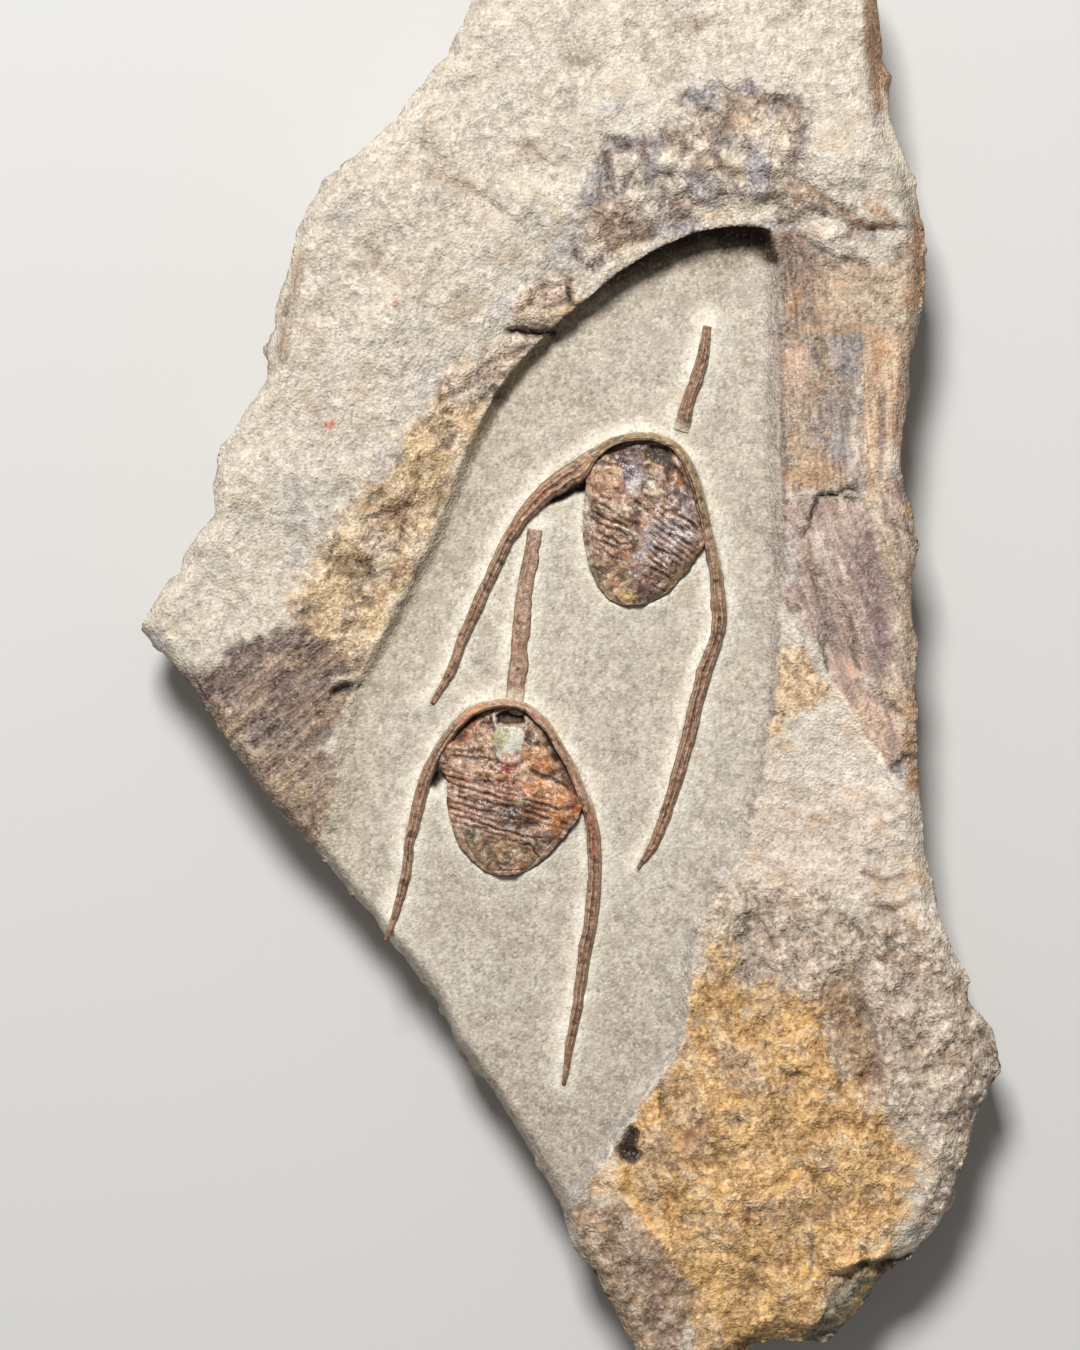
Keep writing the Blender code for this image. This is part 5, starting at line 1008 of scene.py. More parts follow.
def ragged(ring):
    """A ring with small breaks along it."""
    tangent = np.roll(ring, -1, axis=0) - np.roll(ring, 1, axis=0)
    outward = np.column_stack((tangent[:, 1], -tangent[:, 0])) / np.hypot(*tangent.T)[:, None]
    x, y = ring.T
    push = 0.18 * fractal(x, y, 5.0, 41) + 0.2 * facets(x, y, 2.4, 43) + 0.1 * fractal(x, y, 0.9, 45, 2)
    return ring + outward * push[:, None]


def floor_height(x, y):
    """The ground-out floor, which swells a little."""
    return FLOOR_HEIGHT + FLOOR_SWELL * lumpiness(x, y, FLOOR_SWELL_SIZE, 3)


def ledge_lift(x, y):
    """What the broken ledges add or take away."""
    lift = np.zeros(x.shape)
    for height, reach, line in LEDGES:
        away, along, side = from_line(x, y, line)
        ends = tapered(along)
        step = smooth_step(-LEDGE_WIDTH / 2, LEDGE_WIDTH / 2, -side * away) - 0.5
        lift += height * ends * step * np.exp(-away / reach)
    return lift


def lump_lift(x, y):
    """What the knobs and lumps add."""
    lift = np.zeros(x.shape)
    for x0, y0, across, up, height in LUMPS:
        lift += height * np.exp(-(((x - x0) / across) ** 2 + ((y - y0) / up) ** 2) * LUMP_STEEPNESS)
    return lift


def broken_top(x, y):
    """The rough top as it was before the hollow was ground out."""
    height = spread(x, y, TOP_SPOTS, SPOT_REACH)[0]
    height += 0.35 * lumpiness(x, y, 9.0, 11) + 0.22 * lumpiness(x, y, 4.5, 12)
    return height + ledge_lift(x, y) + lump_lift(x, y)


def relief_kinds(x, y):
    """Each kind of rock's fine relief in millimetres, and how far each point is up a crest or down a pit."""
    pits = smooth_step(0.3, 0.9, fractal(x, y, 2.4, 61, 3))
    fine = fractal(x, y, 0.9, 65, 2)
    sand_lumps = billow(x, y, 3.4, 62)
    blocks = facets(x, y, 3.4, 73)
    chips = facets(x, y, 1.6, 75)
    flakes = terraces(0.9 * fractal(x, y, 4.0, 71), 0.35, 0.3)
    bits = facets(x, y, 0.8, 77)
    plates = facets(x, y, 3.6, 81)
    grains = pebbles(x, y, 1.0, 85)
    nubs = facets(x, y, 1.4, 83)
    upright = streaks(x, y, 88.0, 5.0, 0.9, 91)
    leaning = streaks(x, y, 112.0, 4.0, 0.8, 95)
    slanted = streaks(x, y, 38.0, 3.5, 0.8, 99)
    bend_x, bend_y = x + 0.5 * fractal(x, y, 2.0, 171, 3), y + 0.5 * fractal(x, y, 2.0, 173, 3)
    along, across = turned(bend_x, bend_y, 38.0)
    folds = smooth_step(0.0, 0.3, np.abs(fractal(0.45 * along, across, 1.9, 175, 2)))
    knobs = billow(bend_x, bend_y, 3.8, 177)
    return {
        "folded": (
            0.75 * folds + 0.5 * blocks + 0.3 * chips + 0.12 * bits,
            1.6 * (folds - 0.75) + 0.35 * blocks + 0.4 * chips + 0.3 * bits,
        ),
        "knobby": (
            1.5 * (knobs - 0.55) + 0.4 * chips + 0.3 * flakes + 0.14 * bits,
            2.6 * (knobs - 0.58) + 0.5 * chips + 0.35 * bits,
        ),
        "sandy": (
            0.3 * fractal(x, y, 8.0, 63, 2) + 0.3 * facets(x, y, 9.0, 64) + 0.36 * sand_lumps - 0.26 * pits
            + 0.12 * bits,
            0.8 * (sand_lumps - 0.55) - 0.6 * pits + 0.35 * bits + 0.2 * fine,
        ),
        "broken": (
            0.75 * blocks + 0.4 * flakes + 0.36 * chips + 0.12 * bits + 0.08 * fine,
            0.55 * blocks + 0.6 * chips + 0.3 * bits + 0.2 * fine,
        ),
        "grainy": (
            0.5 * plates + 0.34 * nubs + 0.3 * grains + 0.16 * bits,
            0.6 * plates + 0.65 * nubs + 1.2 * (grains - 0.6) + 0.45 * bits,
        ),
        "upright": (0.26 * upright + 0.22 * facets(x, y, 2.0, 93) + 0.07 * fine, 0.9 * upright + 0.3 * fine),
        "leaning": (0.36 * leaning + 0.16 * facets(x, y, 2.6, 97) + 0.07 * fine, 1.2 * leaning + 0.3 * fine),
        "slanted": (0.32 * slanted + 0.28 * facets(x, y, 2.6, 101) + 0.08 * fine, 0.9 * slanted + 0.3 * fine),
        "smooth": (0.06 * fractal(x, y, 2.2, 67, 3), 0.3 * fractal(x, y, 2.2, 67, 3)),
    }


def blend(values, share, target):
    """Values moved towards a target by a share for each point."""
    return values + share[:, None] * (np.asarray(target) - values)


class Paint:
    """The light, dark and stain colours of each point of a mesh."""

    def __init__(self, count, finish, finishes):
        self.finishes = finishes
        self.layers = [np.tile(seen(colour), (count, 1)) for colour in finishes[finish]]

    def add(self, finish, share):
        """Lays a finish over the points by each one's share."""
        colours = self.finishes[finish]
        self.layers = [blend(layer, share, seen(colour)) for layer, colour in zip(self.layers, colours)]

    def shade(self, factor):
        """Multiplies each point's colours."""
        self.layers = [layer * factor[:, None] for layer in self.layers]


def add_mesh(name, points, faces, paint, finish, fields):
    """A mesh from points in millimetres, with its colours and its fields' values stored on its points."""
    mesh = bpy.data.meshes.new(name)
    mesh.from_pydata([tuple(point) for point in np.asarray(points) * MM], [], faces)
    mesh.materials.append(finish)
    mesh.shade_smooth()
    for layer_name, layer in zip(("light", "dark", "stain"), paint.layers):
        colours = np.ones((len(points), 4), np.float32)
        colours[:, :3] = layer
        attribute = mesh.attributes.new(layer_name, "FLOAT_COLOR", "POINT")
        attribute.data.foreach_set("color", colours.ravel())
    for field_name, values in fields.items():
        attribute = mesh.attributes.new(field_name, "FLOAT", "POINT")
        attribute.data.foreach_set("value", values.astype(np.float32))
    thing = bpy.data.objects.new(name, mesh)
    bpy.context.scene.collection.objects.link(thing)
    return thing


def carry(piece, node):
    """Fixes a piece to the part in place of a node."""
    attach(piece, "root")
    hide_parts(node)


def border_loop(faces):
    """The corners round the outside of a sheet of faces, anticlockwise."""
    following = {(a, b) for face in faces for a, b in zip(face, face[1:] + face[:1])}
    step = {a: b for a, b in following if (b, a) not in following}
    loop = [min(step)]
    while step[loop[-1]] != loop[0]:
        loop.append(step[loop[-1]])
    return loop


def fossil_lines():
    """The hoops' and nose spines' middle lines with their half widths, and the bodies' outlines with none."""
    lines = []
    for stations in (UPPER_HOOP, LOWER_HOOP, UPPER_NOSE, LOWER_NOSE):
        curve = along_curve(stations, 1.0)
        lines.append((curve[:, :2] + inward_of(curve) * curve[:, 2:3] / 2, curve[:, 2] / 2))
    for left, right in (UPPER_BODY, LOWER_BODY):
        outline = np.array(left[4:] + right[:4:-1])
        lines.append((outline, np.zeros(len(outline))))
    return lines


def inward_of(curve):
    """The direction to the right of a curve at each of its points."""
    tangent = np.gradient(curve[:, :2], axis=0)
    tangent /= np.hypot(*tangent.T)[:, None]
    return np.column_stack((tangent[:, 1], -tangent[:, 0]))


def near_fossils(x, y):
    """The distance from the nearest edge of a hoop, nose spine or body."""
    nearest = np.full(x.shape, 9.0)
    for line, half_widths in fossil_lines():
        near = within(x, y, line, 4.0)
        away, along, _ = from_line(x[near], y[near], line)
        away -= np.interp(along, np.linspace(0.0, 1.0, len(line)), half_widths)
        nearest[near] = np.minimum(nearest[near], away)
    return nearest


def fill_points(ring, coarse_ring, rim, spacing, wanted):
    """Points in a triangular pattern inside a ring, clear of it and of the rim, where they are wanted."""
    low, high = ring.min(axis=0), ring.max(axis=0)
    rows = np.arange(low[1], high[1], spacing * ROW_SHARE)
    columns = np.arange(low[0], high[0], spacing)
    x, y = np.meshgrid(columns, rows)
    x = (x + np.where(np.arange(len(rows)) % 2, spacing / 2, 0.0)[:, None]).ravel()
    y = y.ravel()
    x = x + UNEVEN_SHARE * spacing * corner_value(x, y, 1)
    y = y + UNEVEN_SHARE * spacing * corner_value(x, y, 2)
    keep = inside(x, y, ring)
    x, y = x[keep], y[keep]
    keep = wanted(x, y)
    x, y = x[keep], y[keep]
    away, _, _ = from_line(x, y, rim)
    keep = away > CLEAR_SHARE * spacing
    x, y = x[keep], y[keep]
    edge, _, _ = from_line(x, y, np.vstack((coarse_ring, coarse_ring[:1])))
    keep = np.ones(x.shape, bool)
    close = edge < 2.5
    keep[close] = from_line(x[close], y[close], np.vstack((ring, ring[:1])))[0] > CLEAR_SHARE * spacing
    return np.column_stack((x, y))[keep]


def hollow_of(x, y, rim):
    """Which points are in the hollow, how far from its rim, the wall's width and height, and how far along."""
    away, along, _ = from_line(x, y, rim[:, :2])
    stations = np.linspace(0.0, 1.0, len(rim))
    width, height = (np.interp(along, stations, rim[:, column]) for column in (2, 3))
    hollow = inside(x, y, np.vstack((rim[:, :2], HOLLOW_CLOSE)))
    return hollow, away, width, height, along


def facet_tone(x, y, size, seed):
    """A steady value from -1 to 1 for each broken face."""
    best = np.full(x.shape, -9.0)
    tone = np.zeros(x.shape)
    for dx, dy, c, r in lattice_neighbours(x, y, size, seed):
        tilt = corner_value(c, r, seed + 3) * dx + corner_value(c, r, seed + 4) * dy
        face = 0.45 * corner_value(c, r, seed + 2) + 0.9 * tilt - 0.8 * (dx * dx + dy * dy)
        tone = np.where(face > best, corner_value(c, r, seed + 7), tone)
        best = np.maximum(best, face)
    return tone


def cell_paint(paint, x, y, share, size, seed, choices):
    """Gives each broken face one of the chosen finishes: finish, lowest and highest tone, share."""
    tone = facet_tone(x + 0.2 * size * fractal(x, y, 0.5 * size, seed + 11, 3), y, size, seed)
    for finish, low, high, amount in choices:
        paint.add(finish, amount * share * ((tone > low) & (tone < high)))


def add_spots(paint, height, x, y, wander):
    """Paints the speckles, spots and veins of the top and raises or sinks them a little."""
    cover = np.clip(0.7 + 0.8 * fractal(x, y, 1.3, 180, 3), 0.0, 1.0)
    for number, (finish, size, rareness, amount, outline) in enumerate(SPECKLES):
        blots = smooth_step(rareness, rareness + 0.3, fractal(x, y, size, 190 + number, 3))
        paint.add(finish, amount * blots * region_share(x, y, outline, 1.5, wander))
    for finish, x0, y0, along, across, degrees, lift in SPOTS:
        off_along, off_across = turned(x - x0, y - y0, degrees)
        reach = (off_along / along) ** 2 + (off_across / across) ** 2
        share = smooth_step(1.6, 0.4, reach + 0.5 * wander)
        paint.add(finish, 0.85 * share * cover)
        height += lift * share
    for finish, lift, half_width, line in VEINS:
        mark = stroke(x, y, line, half_width)
        height += lift * mark
        paint.add(finish, np.clip(1.1 * mark, 0.0, 0.85))


def slab_surface(x, y, rim, coarse_ring):
    """The height of the slab's top, its paint, how far each point is set back, and how rough or drawn out."""
    top_limit = cad_box[1][2] / MM
    wander = 1.3 * fractal(x, y, 4.5, 51) + 0.7 * fractal(x, y, 1.3, 53, 3)
    warp_x = x + CRACK_BEND * fractal(x, y, 1.2, 55, 3)
    warp_y = y + CRACK_BEND * fractal(x, y, 1.2, 57, 3)
    paint = Paint(len(x), "sand", FINISHES)
    paint.add("smudge", 0.35 * smooth_step(0.2, 0.7, fractal(x, y, 6.0, 110)))
    paint.add("bruise", 0.35 * smooth_step(0.2, 0.7, fractal(x, y, 5.0, 115)))
    kinds = relief_kinds(x, y)
    detail, crest = (field.copy() for field in kinds["sandy"])
    shares = {kind: np.zeros(x.shape) for kind in kinds}
    for finish, kind, amount, border, outline in REGIONS:
        share = region_share(x, y, outline, border, wander * min(1.2, border))
        paint.add(finish, share)
        detail += share * (amount * kinds[kind][0] - detail)
        crest += share * (kinds[kind][1] - crest)
        for name in shares:
            shares[name] += share * ((name == kind) - shares[name])
    cell_paint(paint, x, y, shares["knobby"], 2.2, 120, (
        ("knob_pale", 0.50, 1.0, 0.7), ("knob_violet", 0.2, 0.40, 0.6), ("knob_brown", -0.5, -0.10, 0.6),
        ("brown_band", -1.0, -0.85, 0.6), ("smudge", -0.8, -0.6, 0.6)))
    cell_paint(paint, x, y, shares["folded"], 1.8, 125, (
        ("knob_pale", 0.55, 1.0, 0.6), ("gold_band", 0.2, 0.40, 0.4), ("purple", -1.0, -0.6, 0.3)))
    cell_paint(paint, x, y, shares["grainy"], 1.5, 130, (
        ("knob_pale", 0.7, 1.0, 0.35), ("smudge", -1.0, -0.7, 0.4)))
    upright = streaks(x, y, 88.0, 9.0, 1.3, 140)
    paint.add("strip_blue", 0.7 * shares["upright"] * smooth_step(0.15, 0.5, upright))
    paint.add("rust", 0.5 * shares["upright"] * smooth_step(-0.2, -0.6, upright))
    leaning = streaks(x, y, 112.0, 9.0, 1.4, 145)
    paint.add("mauve_dark", 0.8 * shares["leaning"] * smooth_step(0.1, 0.35, leaning))
    paint.add("facet", 0.45 * shares["leaning"] * smooth_step(-0.2, -0.6, leaning))
    slanted = streaks(x, y, 38.0, 4.0, 0.9, 150)
    paint.add("lower_dark", 0.6 * shares["slanted"] * smooth_step(0.1, 0.5, slanted))
    paint.add("ochre_band", 0.5 * shares["slanted"] * smooth_step(-0.1, -0.5, slanted))
    # Painted shade down in the relief's creases, and painted highlights in pale knob colour on its crests.
    for kind, shade_share, highlight_share in CREASE_SHADE_AND_CREST_LIGHT:
        paint.add("crease_shade", shade_share * shares[kind] * smooth_step(-0.45, -1.2, crest))
        paint.add("knob_pale", highlight_share * shares[kind] * smooth_step(0.5, 1.1, crest))
    add_spots(paint, detail, x, y, wander)
    hollow, away, width, rim_height, along = hollow_of(x, y, rim)
    beyond = np.exp(-((away / RIM_REACH) ** 2))
    height = broken_top(x, y)
    height = height + (rim_height - height) * beyond + detail * (1.0 - 0.35 * beyond)
    wall = np.clip(1.0 - away / width, 0.0, 1.0) ** WALL_CURVE
    ground = floor_height(x, y) + kinds["smooth"][0]
    beside = np.maximum(near_fossils(x, y), 0.0)
    swell = FOSSIL_SWELL * np.exp(-((beside / SWELL_REACH) ** 2))
    for left, right in (UPPER_BODY, LOWER_BODY):
        under = region_share(x, y, left + right[::-1], 0.3, np.zeros(x.shape))
        swell -= FOSSIL_SWELL * under
    ground += swell
    wall_relief = 0.4 * np.sin(np.pi * wall) * kinds["broken"][0]
    height = np.where(hollow, ground + (height - ground) * wall + wall_relief, height)
    in_hollow = hollow * 1.0
    floor_share = in_hollow * smooth_step(0.3, 1.1, away / width)
    paint.add("floor", floor_share)
    paint.add("floor_low", 0.8 * floor_share * smooth_step(-40.0, -62.0, y + 3.0 * wander))
    paint.add("floor_low", 0.5 * floor_share * smooth_step(0.2, 0.7, fractal(x, y, 9.0, 155)))
    on_left = smooth_step(0.46, 0.43, along)
    on_right = 1.0 - on_left
    paint.add("floor_shade", 0.75 * floor_share * on_left * np.exp(-((away / 4.5) ** 2)))
    lower_right = smooth_step(-20.0, -30.0, y)
    cove = in_hollow * on_right * np.exp(-((away / 1.7) ** 2))
    paint.add("cove", 0.9 * cove * (1.0 - lower_right))
    paint.add("cove_low", 0.9 * cove * lower_right)
    # Painted shadow at the foot of the wall under the top rim: wall colour over its reach, near black close in.
    foot = np.interp(along, *np.transpose(RIM_SHADOW)) + 1e-6
    in_rim_shadow = in_hollow * smooth_step(0.2, 0.9, foot)
    ragged_away = away + 0.5 * fractal(x, y, 2.2, 185, 3)
    paint.add("wall", 0.8 * in_rim_shadow * smooth_step(1.9, 0.8, ragged_away / foot))
    # Painted shade on the left wall, which faces away from the light: wall colour up high and floor shade lower
    # down.
    high_wall = in_hollow * on_left * smooth_step(1.3, 0.6, away / width)
    paint.add("wall", high_wall * smooth_step(16.0, 34.0, y + wander))
    paint.add("floor_shade", 0.8 * high_wall * smooth_step(30.0, 14.0, y + wander))
    paint.add("deep_shade", 0.95 * in_rim_shadow * smooth_step(1.1, 0.4, ragged_away / foot))
    paint.add("halo", 0.9 * in_hollow * np.exp(-((beside / 1.5) ** 2)))
    # Painted contact shadow in a thin, patchy ring round the fossils' edges.
    contact_shadow_share = np.clip(0.22 + 0.6 * fractal(x, y, 3.0, 188, 2), 0.0, 0.6)
    paint.add("contact_shade", contact_shadow_share * in_hollow * np.exp(-((beside / 0.22) ** 2)))
    # The pits are sunk and painted with deep shade.
    for depth, outline in PITS:
        share = region_share(x, y, outline, 0.35, 0.2 * wander)
        height -= depth * share
        paint.add("deep_shade", share)
    crest += floor_share * (kinds["smooth"][1] - crest)
    # The cracks are sunk and painted with deep shade along them.
    for depth, half_width, line in CRACKS:
        mark = stroke(warp_x, warp_y, line, half_width + 0.08)
        height -= depth * mark
        paint.add("deep_shade", np.clip(1.5 * mark, 0.0, 0.95) * min(1.0, 1.3 * depth))
    set_back = in_hollow * np.interp(along, *np.transpose(UNDERCUT)) * smooth_step(0.0, 0.5, away)
    set_back *= smooth_step(3.5, 0.8, away)
    # Painted shadow under the overhanging rim.
    paint.add("deep_shade", 0.9 * smooth_step(0.5, 1.2, set_back) * smooth_step(2.0, 0.8, away))
    # Painted light and shade: colours darkened down the relief's pits and creases and lightened up its crests.
    paint.shade(1.0 + 0.28 * np.clip(crest, -2.0, 0.9))
    bevel, drop = spread(x, y, EDGE_SPOTS, EDGE_REACH)
    from_edge, _, _ = from_line(x, y, np.vstack((coarse_ring, coarse_ring[:1])))
    edge = np.clip(1.0 - from_edge / bevel, 0.0, 1.0)
    height -= drop * edge**EDGE_CURVE
    over = np.maximum(height - (top_limit - 1.0), 0.0)
    bare = 1.0 - floor_share
    fields = {kind: shares[kind] * bare for kind, _ in LINE_WAYS}
    fields["rough"] = sum(amount * shares[kind] for kind, amount in ROUGH_KINDS) * bare
    fields["calm"] = floor_share
    return height - over + 1.0 - np.exp(-over), paint, set_back, fields


def smoothed_ring(ring, reach):
    """A closed ring with its small corners taken off."""
    steps = max(1, int(reach / OUTLINE_SPACING))
    shifts = range(-steps, steps + 1)
    return sum(np.roll(ring, shift, axis=0) for shift in shifts) / len(shifts)


def build_slab(finish):
    """The slab: a finely broken top with its hollow, rough sides and a flat back."""
    coarse_ring = slab_outline(COARSE_SPACING)
    ring = ragged(slab_outline(OUTLINE_SPACING))
    rim = along_curve(HOLLOW_RIM, RIM_SPACING)

    def is_floor(x, y):
        hollow, away, width, _, _ = hollow_of(x, y, rim)
        return hollow & (away > width + 0.8) & (near_fossils(x, y) > 1.0)

    inner_rim = rim[1:-1, :2]
    fine = fill_points(ring, coarse_ring, inner_rim, ROUGH_SPACING, lambda x, y: ~is_floor(x, y))
    calm = fill_points(ring, coarse_ring, inner_rim, FLOOR_SPACING, is_floor)
    places = np.vstack((ring, inner_rim, fine, calm))
    edges = [(n, (n + 1) % len(ring)) for n in range(len(ring))]
    edges += [(len(ring) + n, len(ring) + n + 1) for n in range(len(inner_rim) - 1)]
    found = delaunay_2d_cdt([Vector(place) for place in places], edges, [], 1, 1e-4)
    flat = np.array([tuple(point) for point in found[0]])
    corners = np.array(found[2])
    a, b, c = flat[corners[:, 0]], flat[corners[:, 1]], flat[corners[:, 2]]
    turn = (b[:, 0] - a[:, 0]) * (c[:, 1] - a[:, 1]) - (b[:, 1] - a[:, 1]) * (c[:, 0] - a[:, 0])
    corners[turn < 0] = corners[turn < 0][:, ::-1]
    faces = [tuple(int(corner) for corner in face) for face in corners]
    height, paint, set_back, fields = slab_surface(flat[:, 0], flat[:, 1], rim, coarse_ring)
    top = np.column_stack((flat + np.outer(set_back, UNDERCUT_WAY), height))
    loop = border_loop(faces)
    points, faces = add_sides(top, faces, loop, paint)
    for name, values in fields.items():
        on_sides = np.full(len(points) - len(top), SIDE_ROUGH * (name == "rough"))
        fields[name] = np.concatenate((values, on_sides))
    slab = add_mesh("rock_slab_surface", points, faces, paint, finish, fields)
    carry(slab, "rock_slab")


def add_sides(top, faces, loop, paint):
    """Adds the sides' rows and the back under the top's border, and paints them."""
    ring = top[loop]
    smooth = smoothed_ring(ring[:, :2], SIDE_SMOOTHING)
    tangent = np.roll(smooth, -1, axis=0) - np.roll(smooth, 1, axis=0)
    outward = np.column_stack((tangent[:, 1], -tangent[:, 0])) / np.hypot(*tangent.T)[:, None]
    round_way = np.concatenate(([0.0], np.cumsum(np.hypot(*np.diff(ring[:, :2], axis=0).T))))
    shares, insets = np.array(SIDE_RINGS)[::-1].T
    rows = [top]
    layers = [[layer] for layer in paint.layers]
    above, count = loop, len(top)
    for row in range(1, SIDE_ROWS + 1):
        share = 1.0 - row / SIDE_ROWS
        height = ring[:, 2] * share
        fade = min(1.0, 4.0 * share) * min(1.0, 0.35 * row)
        lump = SIDE_LUMP * lumpiness(ring[:, 0] + ring[:, 1], height + ring[:, 1], 6.0, 21)
        beds = 0.8 * fractal(round_way, 2.2 * height, 7.0, 23) + 0.5 * facets(round_way, height, 4.0, 25)
        beds = terraces(beds, 0.45, 0.3)
        rough = 0.2 * facets(round_way, 1.5 * height, 1.7, 27)
        depth = np.interp(share, shares, insets) + fade * (lump + beds + rough)
        rows.append(np.column_stack((ring[:, :2] - outward * depth[:, None], height)))
        side = Paint(len(loop), "side", FINISHES)
        side.add("rust", smooth_step(0.2, 0.7, fractal(round_way, 1.6 * height, 16.0, 29)))
        side.add("grey", smooth_step(0.1, 0.7, fractal(round_way, 3.0 * height, 12.0, 31)))
        near_top = smooth_step(0.0, 0.3, 1.0 - share)
        for kept, layer, sides in zip(layers, paint.layers, side.layers):
            kept.append(layer[loop] + near_top * (sides - layer[loop]))
        below = list(range(count, count + len(loop)))
        count += len(loop)
        for n in range(len(loop)):
            after = (n + 1) % len(loop)
            faces.append((above[n], below[n], below[after], above[after]))
        above = below
    faces.append(tuple(reversed(above)))
    paint.layers = [np.vstack(kept) for kept in layers]
    return np.vstack(rows), faces


def rib_rise(across, lip):
    """A spine's height across it, or where lip is 1 the hoop's front, which leans up to its inner edge."""
    spine = np.interp(across, ACROSS, ROUND_SPINE)
    front = np.interp(across, ACROSS, FRONT_LIP)
    return spine * (1.0 - lip) + front * lip


def hoop_lips(share):
    """How much the hoop leans up to its inner edge, which it does round the front of the head alone."""
    return smooth_step(*LEAN_FROM_LEFT, share) * smooth_step(*LEAN_FROM_RIGHT, 1.0 - share)


def build_rib(node, stations, finish, skin, lip_skin, lips, patches, furrows, seed):
    """A spine or a hoop, with its outer edge on the stations and its edges sunk in the rock."""
    curve = along_curve(stations, RIB_SPACING)
    inward = inward_of(curve)
    way = np.arange(len(curve)) * RIB_SPACING
    share, place = np.meshgrid(np.linspace(0.0, 1.0, RIB_POINTS), way)
    lip = lips(way / way[-1])[:, None]
    wobble = 0.09 * fractal(way, way * 0.0, 2.4, seed, 3)
    width = curve[:, 2] * (1.0 + 0.10 * fractal(way, way * 0.0 + 9.0, 2.2, seed + 5, 3))
    offset = share * width[:, None] + wobble[:, None]
    flat = curve[:, None, :2] + inward[:, None, :] * offset[..., None]
    x, y = flat[..., 0], flat[..., 1]
    streak = fractal(place / 6.0, 3.0 * share, 1.0, seed + 1, 3)
    pits = 0.6 * smooth_step(0.45, 0.9, fractal(x, y, 0.7, seed + 2, 2))
    grain = 0.16 * streak + 0.08 * facets(x, y, 0.7, seed + 4) - 0.2 * pits
    grain += 0.2 * lip * facets(x, y, 1.3, seed + 7)
    thick = np.minimum(1.0, curve[:, 3:4])
    top = floor_height(x, y) + PLATE_GAP + curve[:, 3:4] * rib_rise(share, lip) + grain * thick
    marks = []
    for first, last, middle, half_width, depth, furrow_skin in furrows:
        part = (way / way[-1])[:, None]
        fade = smooth_step(first, first + 0.03, part) * smooth_step(last, last - 0.03, part)
        mark = fade * np.exp(-(((share - middle - 0.06 * streak) / half_width) ** 2))
        top -= depth * mark
        marks.append((furrow_skin, mark))
    cavity = top - blurred(top, 3)
    points = np.dstack((x, y, top))
    points = np.concatenate((points, points[:, -1:], points[:, :1]), axis=1)
    points[:, -2:, 2] = FLOOR_HEIGHT - SUNK
    size = RIB_POINTS + 2
    faces = []
    for row in range(len(curve) - 1):
        for n in range(size):
            after = (n + 1) % size
            faces.append((row * size + n, row * size + after, (row + 1) * size + after, (row + 1) * size + n))
    faces.append(tuple(reversed(range(size))))
    faces.append(tuple(range((len(curve) - 1) * size, len(curve) * size)))
    paint = Paint(x.size, skin, SKINS)
    paint.add("umber", (0.65 * smooth_step(0.05, 0.5, streak)).ravel())
    paint.add("umber", (0.6 * smooth_step(0.34, 0.5, np.abs(share - 0.5)) * (1.0 - lip)).ravel())
    paint.add(lip_skin, (0.85 * lip * smooth_step(0.9, 0.6, share)).ravel())
    paint.add("matrix", (0.7 * lip * smooth_step(0.25, 0.0, share)).ravel())
    for furrow_skin, mark in marks:
        paint.add(furrow_skin, np.clip(1.2 * mark, 0.0, 0.92).ravel())
    for patch_skin, amount, outline in patches:
        patch = region_share(x, y, outline, 0.3, 0.35 * fractal(x, y, 1.2, seed + 6, 3))
        paint.add(patch_skin, (amount * patch).ravel())
    paint.add("furrow", (0.75 * lip * smooth_step(0.65, 0.88, share)).ravel())
    black_shade = smooth_step(0.1, 0.6, fractal(x, y, 1.6, seed + 8, 2))
    # Painted shade, patchy, along the inner edge of the hoop's front, under its lip.
    paint.add("groove_shade", (0.7 * black_shade * lip * smooth_step(0.85, 0.97, share)).ravel())
    # Painted shade in the pits.
    paint.add("groove_shade", (0.75 * pits).ravel())
    # Painted shade in hollows of the surface, kept off the lip's inner edge, and painted highlights on its bumps.
    from_lip = 1.0 - lip * smooth_step(0.75, 0.9, share)
    paint.add("groove_shade", (0.6 * from_lip * smooth_step(0.03, 0.14, -cavity)).ravel())
    paint.add("glint", (0.35 * smooth_step(0.05, 0.15, cavity)).ravel())
    if not lip.any():
        base = smooth_step(NOSE_FADE, 0.0, (way / way[-1])[:, None] + 0.0 * share)
        paint.add("matrix", (0.9 * base).ravel())
    layers = [layer.reshape(len(curve), RIB_POINTS, 3) for layer in paint.layers]
    layers = [np.concatenate((layer, layer[:, -1:], layer[:, :1]), axis=1) for layer in layers]
    paint.layers = [layer.reshape(-1, 3) for layer in layers]
    flat_points = points.reshape(-1, 3)
    polish = 0.4 + 0.25 * fractal(flat_points[:, 0], flat_points[:, 1], 2.0, seed + 3, 2)
    rib = add_mesh(node + "_detail", flat_points, faces, paint, finish, {"polish": polish})
    carry(rib, node)


def blurred(grid, reach):
    """A grid's values averaged over reach rows and columns to each side."""
    steps = range(-reach, reach + 1)
    for axis in (0, 1):
        size = grid.shape[axis]
        shifted = [np.take(grid, np.clip(np.arange(size) + step, 0, size - 1), axis=axis) for step in steps]
        grid = sum(shifted) / len(steps)
    return grid


